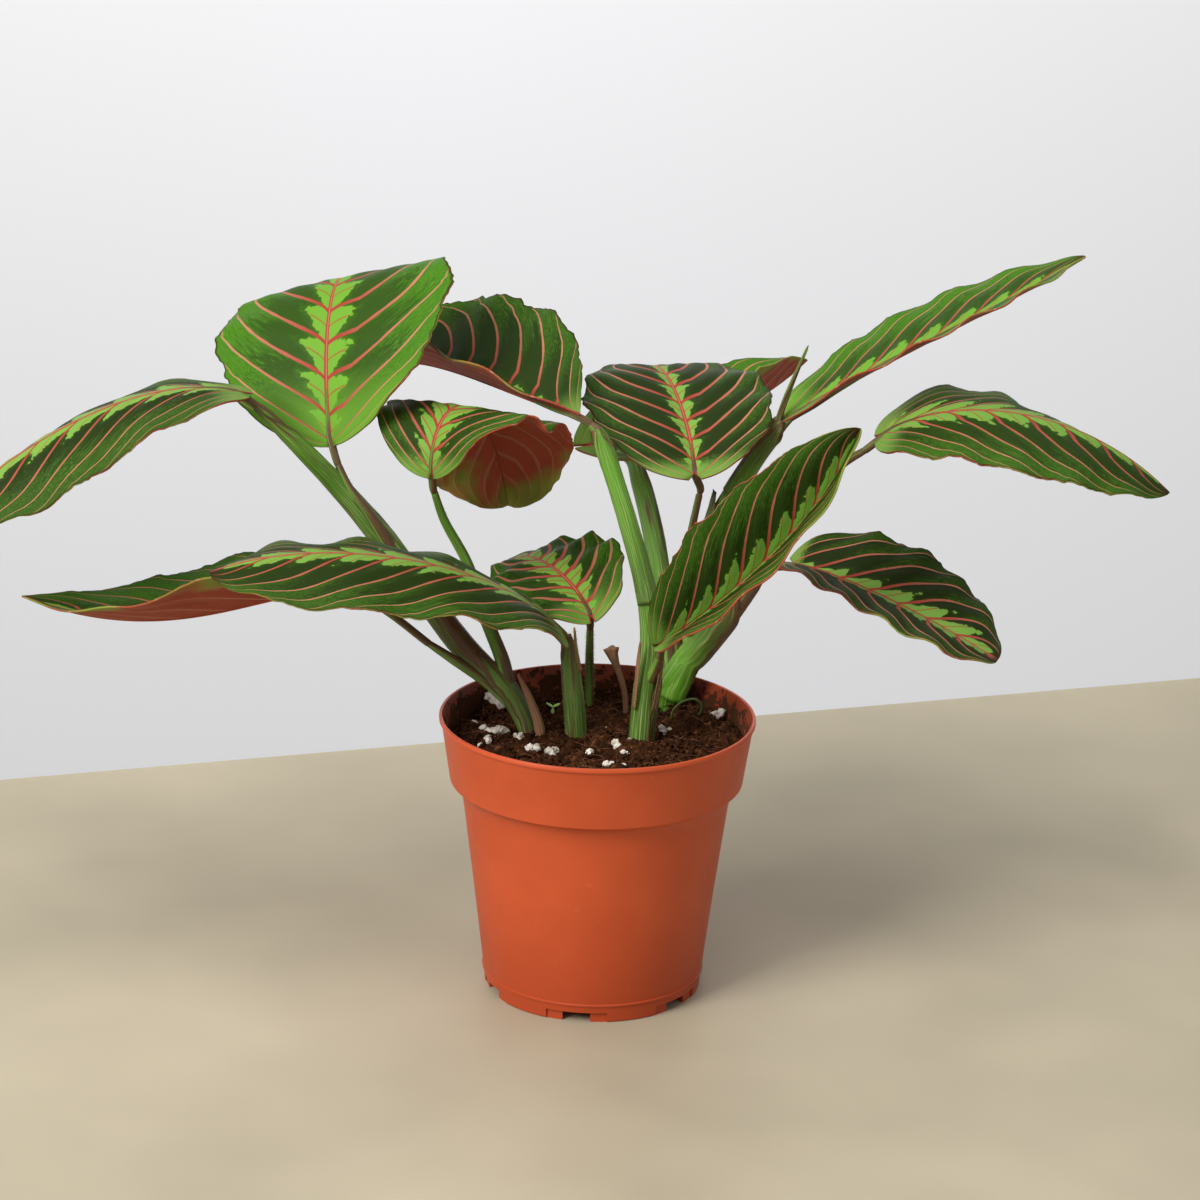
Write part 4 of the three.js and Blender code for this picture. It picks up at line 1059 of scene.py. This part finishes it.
def make_stage(settings):
    """Pale table, grey wall, soft lamps and the camera."""
    panel("table_top", TABLE_CORNERS, material("table_paint", table_recipe, Roughness=0.6))
    panel("backdrop_wall", WALL_CORNERS, material("wall_paint", wall_recipe, Roughness=0.8))
    for name, (place, size, tint, target) in LAMPS.items():
        bpy.ops.object.light_add(type="AREA", location=place)
        lamp = bpy.context.object
        lamp.name = name + "_lamp"
        lamp.data.energy = getattr(settings, name + "_power")
        lamp.data.size = size
        lamp.data.color = tint
        lamp.rotation_euler = (Vector(target) - Vector(place)).to_track_quat("-Z", "Y").to_euler()
    world = bpy.data.worlds.new("studio_air")
    world.use_nodes = True
    air = world.node_tree.nodes["Background"].inputs
    air[0].default_value = AIR_COLOUR
    air[1].default_value = settings.air_strength
    bpy.context.scene.world = world

    bpy.ops.object.camera_add(location=CAMERA_PLACE)
    camera = bpy.context.object
    camera.name = "photo_camera"
    turn = Euler((math.pi / 2 - CAMERA_PITCH, 0, 0))
    turn.rotate_axis("Z", CAMERA_ROLL)
    camera.rotation_euler = turn
    camera.data.sensor_fit = "HORIZONTAL"
    camera.data.sensor_width = CAMERA_SENSOR
    camera.data.lens = CAMERA_LENS
    camera.data.clip_end = 50
    bpy.context.scene.camera = camera
    bpy.context.scene.view_settings.view_transform = "Standard"


# ---- Add-on ----

class PlantSettings(bpy.types.PropertyGroup):
    """Sizes and counts of the plant's visual detail."""
    blade_thickness: FloatProperty(
        name="Blade thickness", description="Thickness of a leaf blade", default=0.0006, min=0.0002, max=0.002,
        subtype="DISTANCE", unit="LENGTH")
    quilting: FloatProperty(
        name="Quilting", description="How far the blade bulges between its side veins", default=0.0006, min=0.0,
        max=0.002, subtype="DISTANCE", unit="LENGTH")
    blade_steps: IntProperty(
        name="Blade steps", description="Faces along a leaf blade", default=128, min=24, max=256)
    pot_steps: IntProperty(
        name="Pot steps", description="Faces round the pot", default=192, min=48, max=512)
    crumbs: IntProperty(
        name="Crumbs", description="Crumbs that lie on the soil", default=2600, min=0, max=6000)
    hairs_per_shoot: IntProperty(
        name="Hairs per shoot", description="Short hairs on the stems of one shoot", default=900, min=0, max=5000)
    fibres: IntProperty(
        name="Fibres", description="Peat fibres that lie on the soil", default=900, min=0, max=3000)


class StageSettings(bpy.types.PropertyGroup):
    """Strength of the studio's lights."""
    key_power: FloatProperty(
        name="Key", description="Power of the soft lamp at the upper left", default=66.0, min=0, unit="POWER")
    fill_power: FloatProperty(
        name="Fill", description="Power of the soft lamp at the right", default=3.0, min=0, unit="POWER")
    top_power: FloatProperty(
        name="Top", description="Power of the lamp overhead", default=24.0, min=0, unit="POWER")
    wall_power: FloatProperty(
        name="Wall", description="Power of the lamp on the wall", default=21.0, min=0, unit="POWER")
    air_strength: FloatProperty(
        name="Air", description="Strength of the light from all round", default=0.42, min=0)


class PLANT_OT_pot(bpy.types.Operator):
    """Adds the moulded pot"""
    bl_idname = "plant.pot"
    bl_label = "Pot"

    def execute(self, context):
        make_pot(context.scene.plant)
        return {"FINISHED"}


class PLANT_OT_soil(bpy.types.Operator):
    """Adds the soil with its crumbs, fibres and perlite"""
    bl_idname = "plant.soil"
    bl_label = "Soil"

    def execute(self, context):
        make_soil(context.scene.plant)
        make_perlite(context.scene.plant)
        return {"FINISHED"}


class PLANT_OT_shoots(bpy.types.Operator):
    """Adds the stems of every shoot"""
    bl_idname = "plant.shoots"
    bl_label = "Shoots"

    def execute(self, context):
        make_shoots(context.scene.plant)
        return {"FINISHED"}


class PLANT_OT_leaves(bpy.types.Operator):
    """Adds the thirteen open leaves"""
    bl_idname = "plant.leaves"
    bl_label = "Leaves"

    def execute(self, context):
        make_leaves(context.scene.plant)
        return {"FINISHED"}


class PLANT_OT_sprouts(bpy.types.Operator):
    """Adds the rolled new leaf and the seedling"""
    bl_idname = "plant.sprouts"
    bl_label = "Sprouts"

    def execute(self, context):
        make_sprouts(context.scene.plant)
        return {"FINISHED"}


class PLANT_OT_dry_pieces(bpy.types.Operator):
    """Adds the withered stub and sheath"""
    bl_idname = "plant.dry_pieces"
    bl_label = "Dry pieces"

    def execute(self, context):
        make_dry_pieces(context.scene.plant)
        return {"FINISHED"}


class PLANT_OT_stage(bpy.types.Operator):
    """Adds the table, the wall, the lamps and the camera"""
    bl_idname = "plant.stage"
    bl_label = "Stage"

    def execute(self, context):
        make_stage(context.scene.plant_stage)
        return {"FINISHED"}


OPERATORS = (PLANT_OT_pot, PLANT_OT_soil, PLANT_OT_shoots, PLANT_OT_leaves, PLANT_OT_sprouts, PLANT_OT_dry_pieces,
             PLANT_OT_stage)


class PLANT_PT_panel(bpy.types.Panel):
    """Lists the plant's settings and operators"""
    bl_idname = "PLANT_PT_panel"
    bl_label = "Potted prayer plant"
    bl_space_type = "VIEW_3D"
    bl_region_type = "UI"
    bl_category = "Plant"

    def draw(self, context):
        for group in (context.scene.plant, context.scene.plant_stage):
            for name in group.__annotations__:
                self.layout.prop(group, name)
        for operator in OPERATORS:
            self.layout.operator(operator.bl_idname)


CLASSES = (PlantSettings, StageSettings, *OPERATORS, PLANT_PT_panel)


def register():
    for one in CLASSES:
        bpy.utils.register_class(one)
    bpy.types.Scene.plant = PointerProperty(type=PlantSettings)
    bpy.types.Scene.plant_stage = PointerProperty(type=StageSettings)


def unregister():
    del bpy.types.Scene.plant_stage
    del bpy.types.Scene.plant
    for one in reversed(CLASSES):
        bpy.utils.unregister_class(one)


def main():
    """Builds the whole plant and its stage."""
    register()
    for operator in OPERATORS:
        group, name = operator.bl_idname.split(".")
        getattr(getattr(bpy.ops, group), name)()


if __name__ == "__main__":
    main()
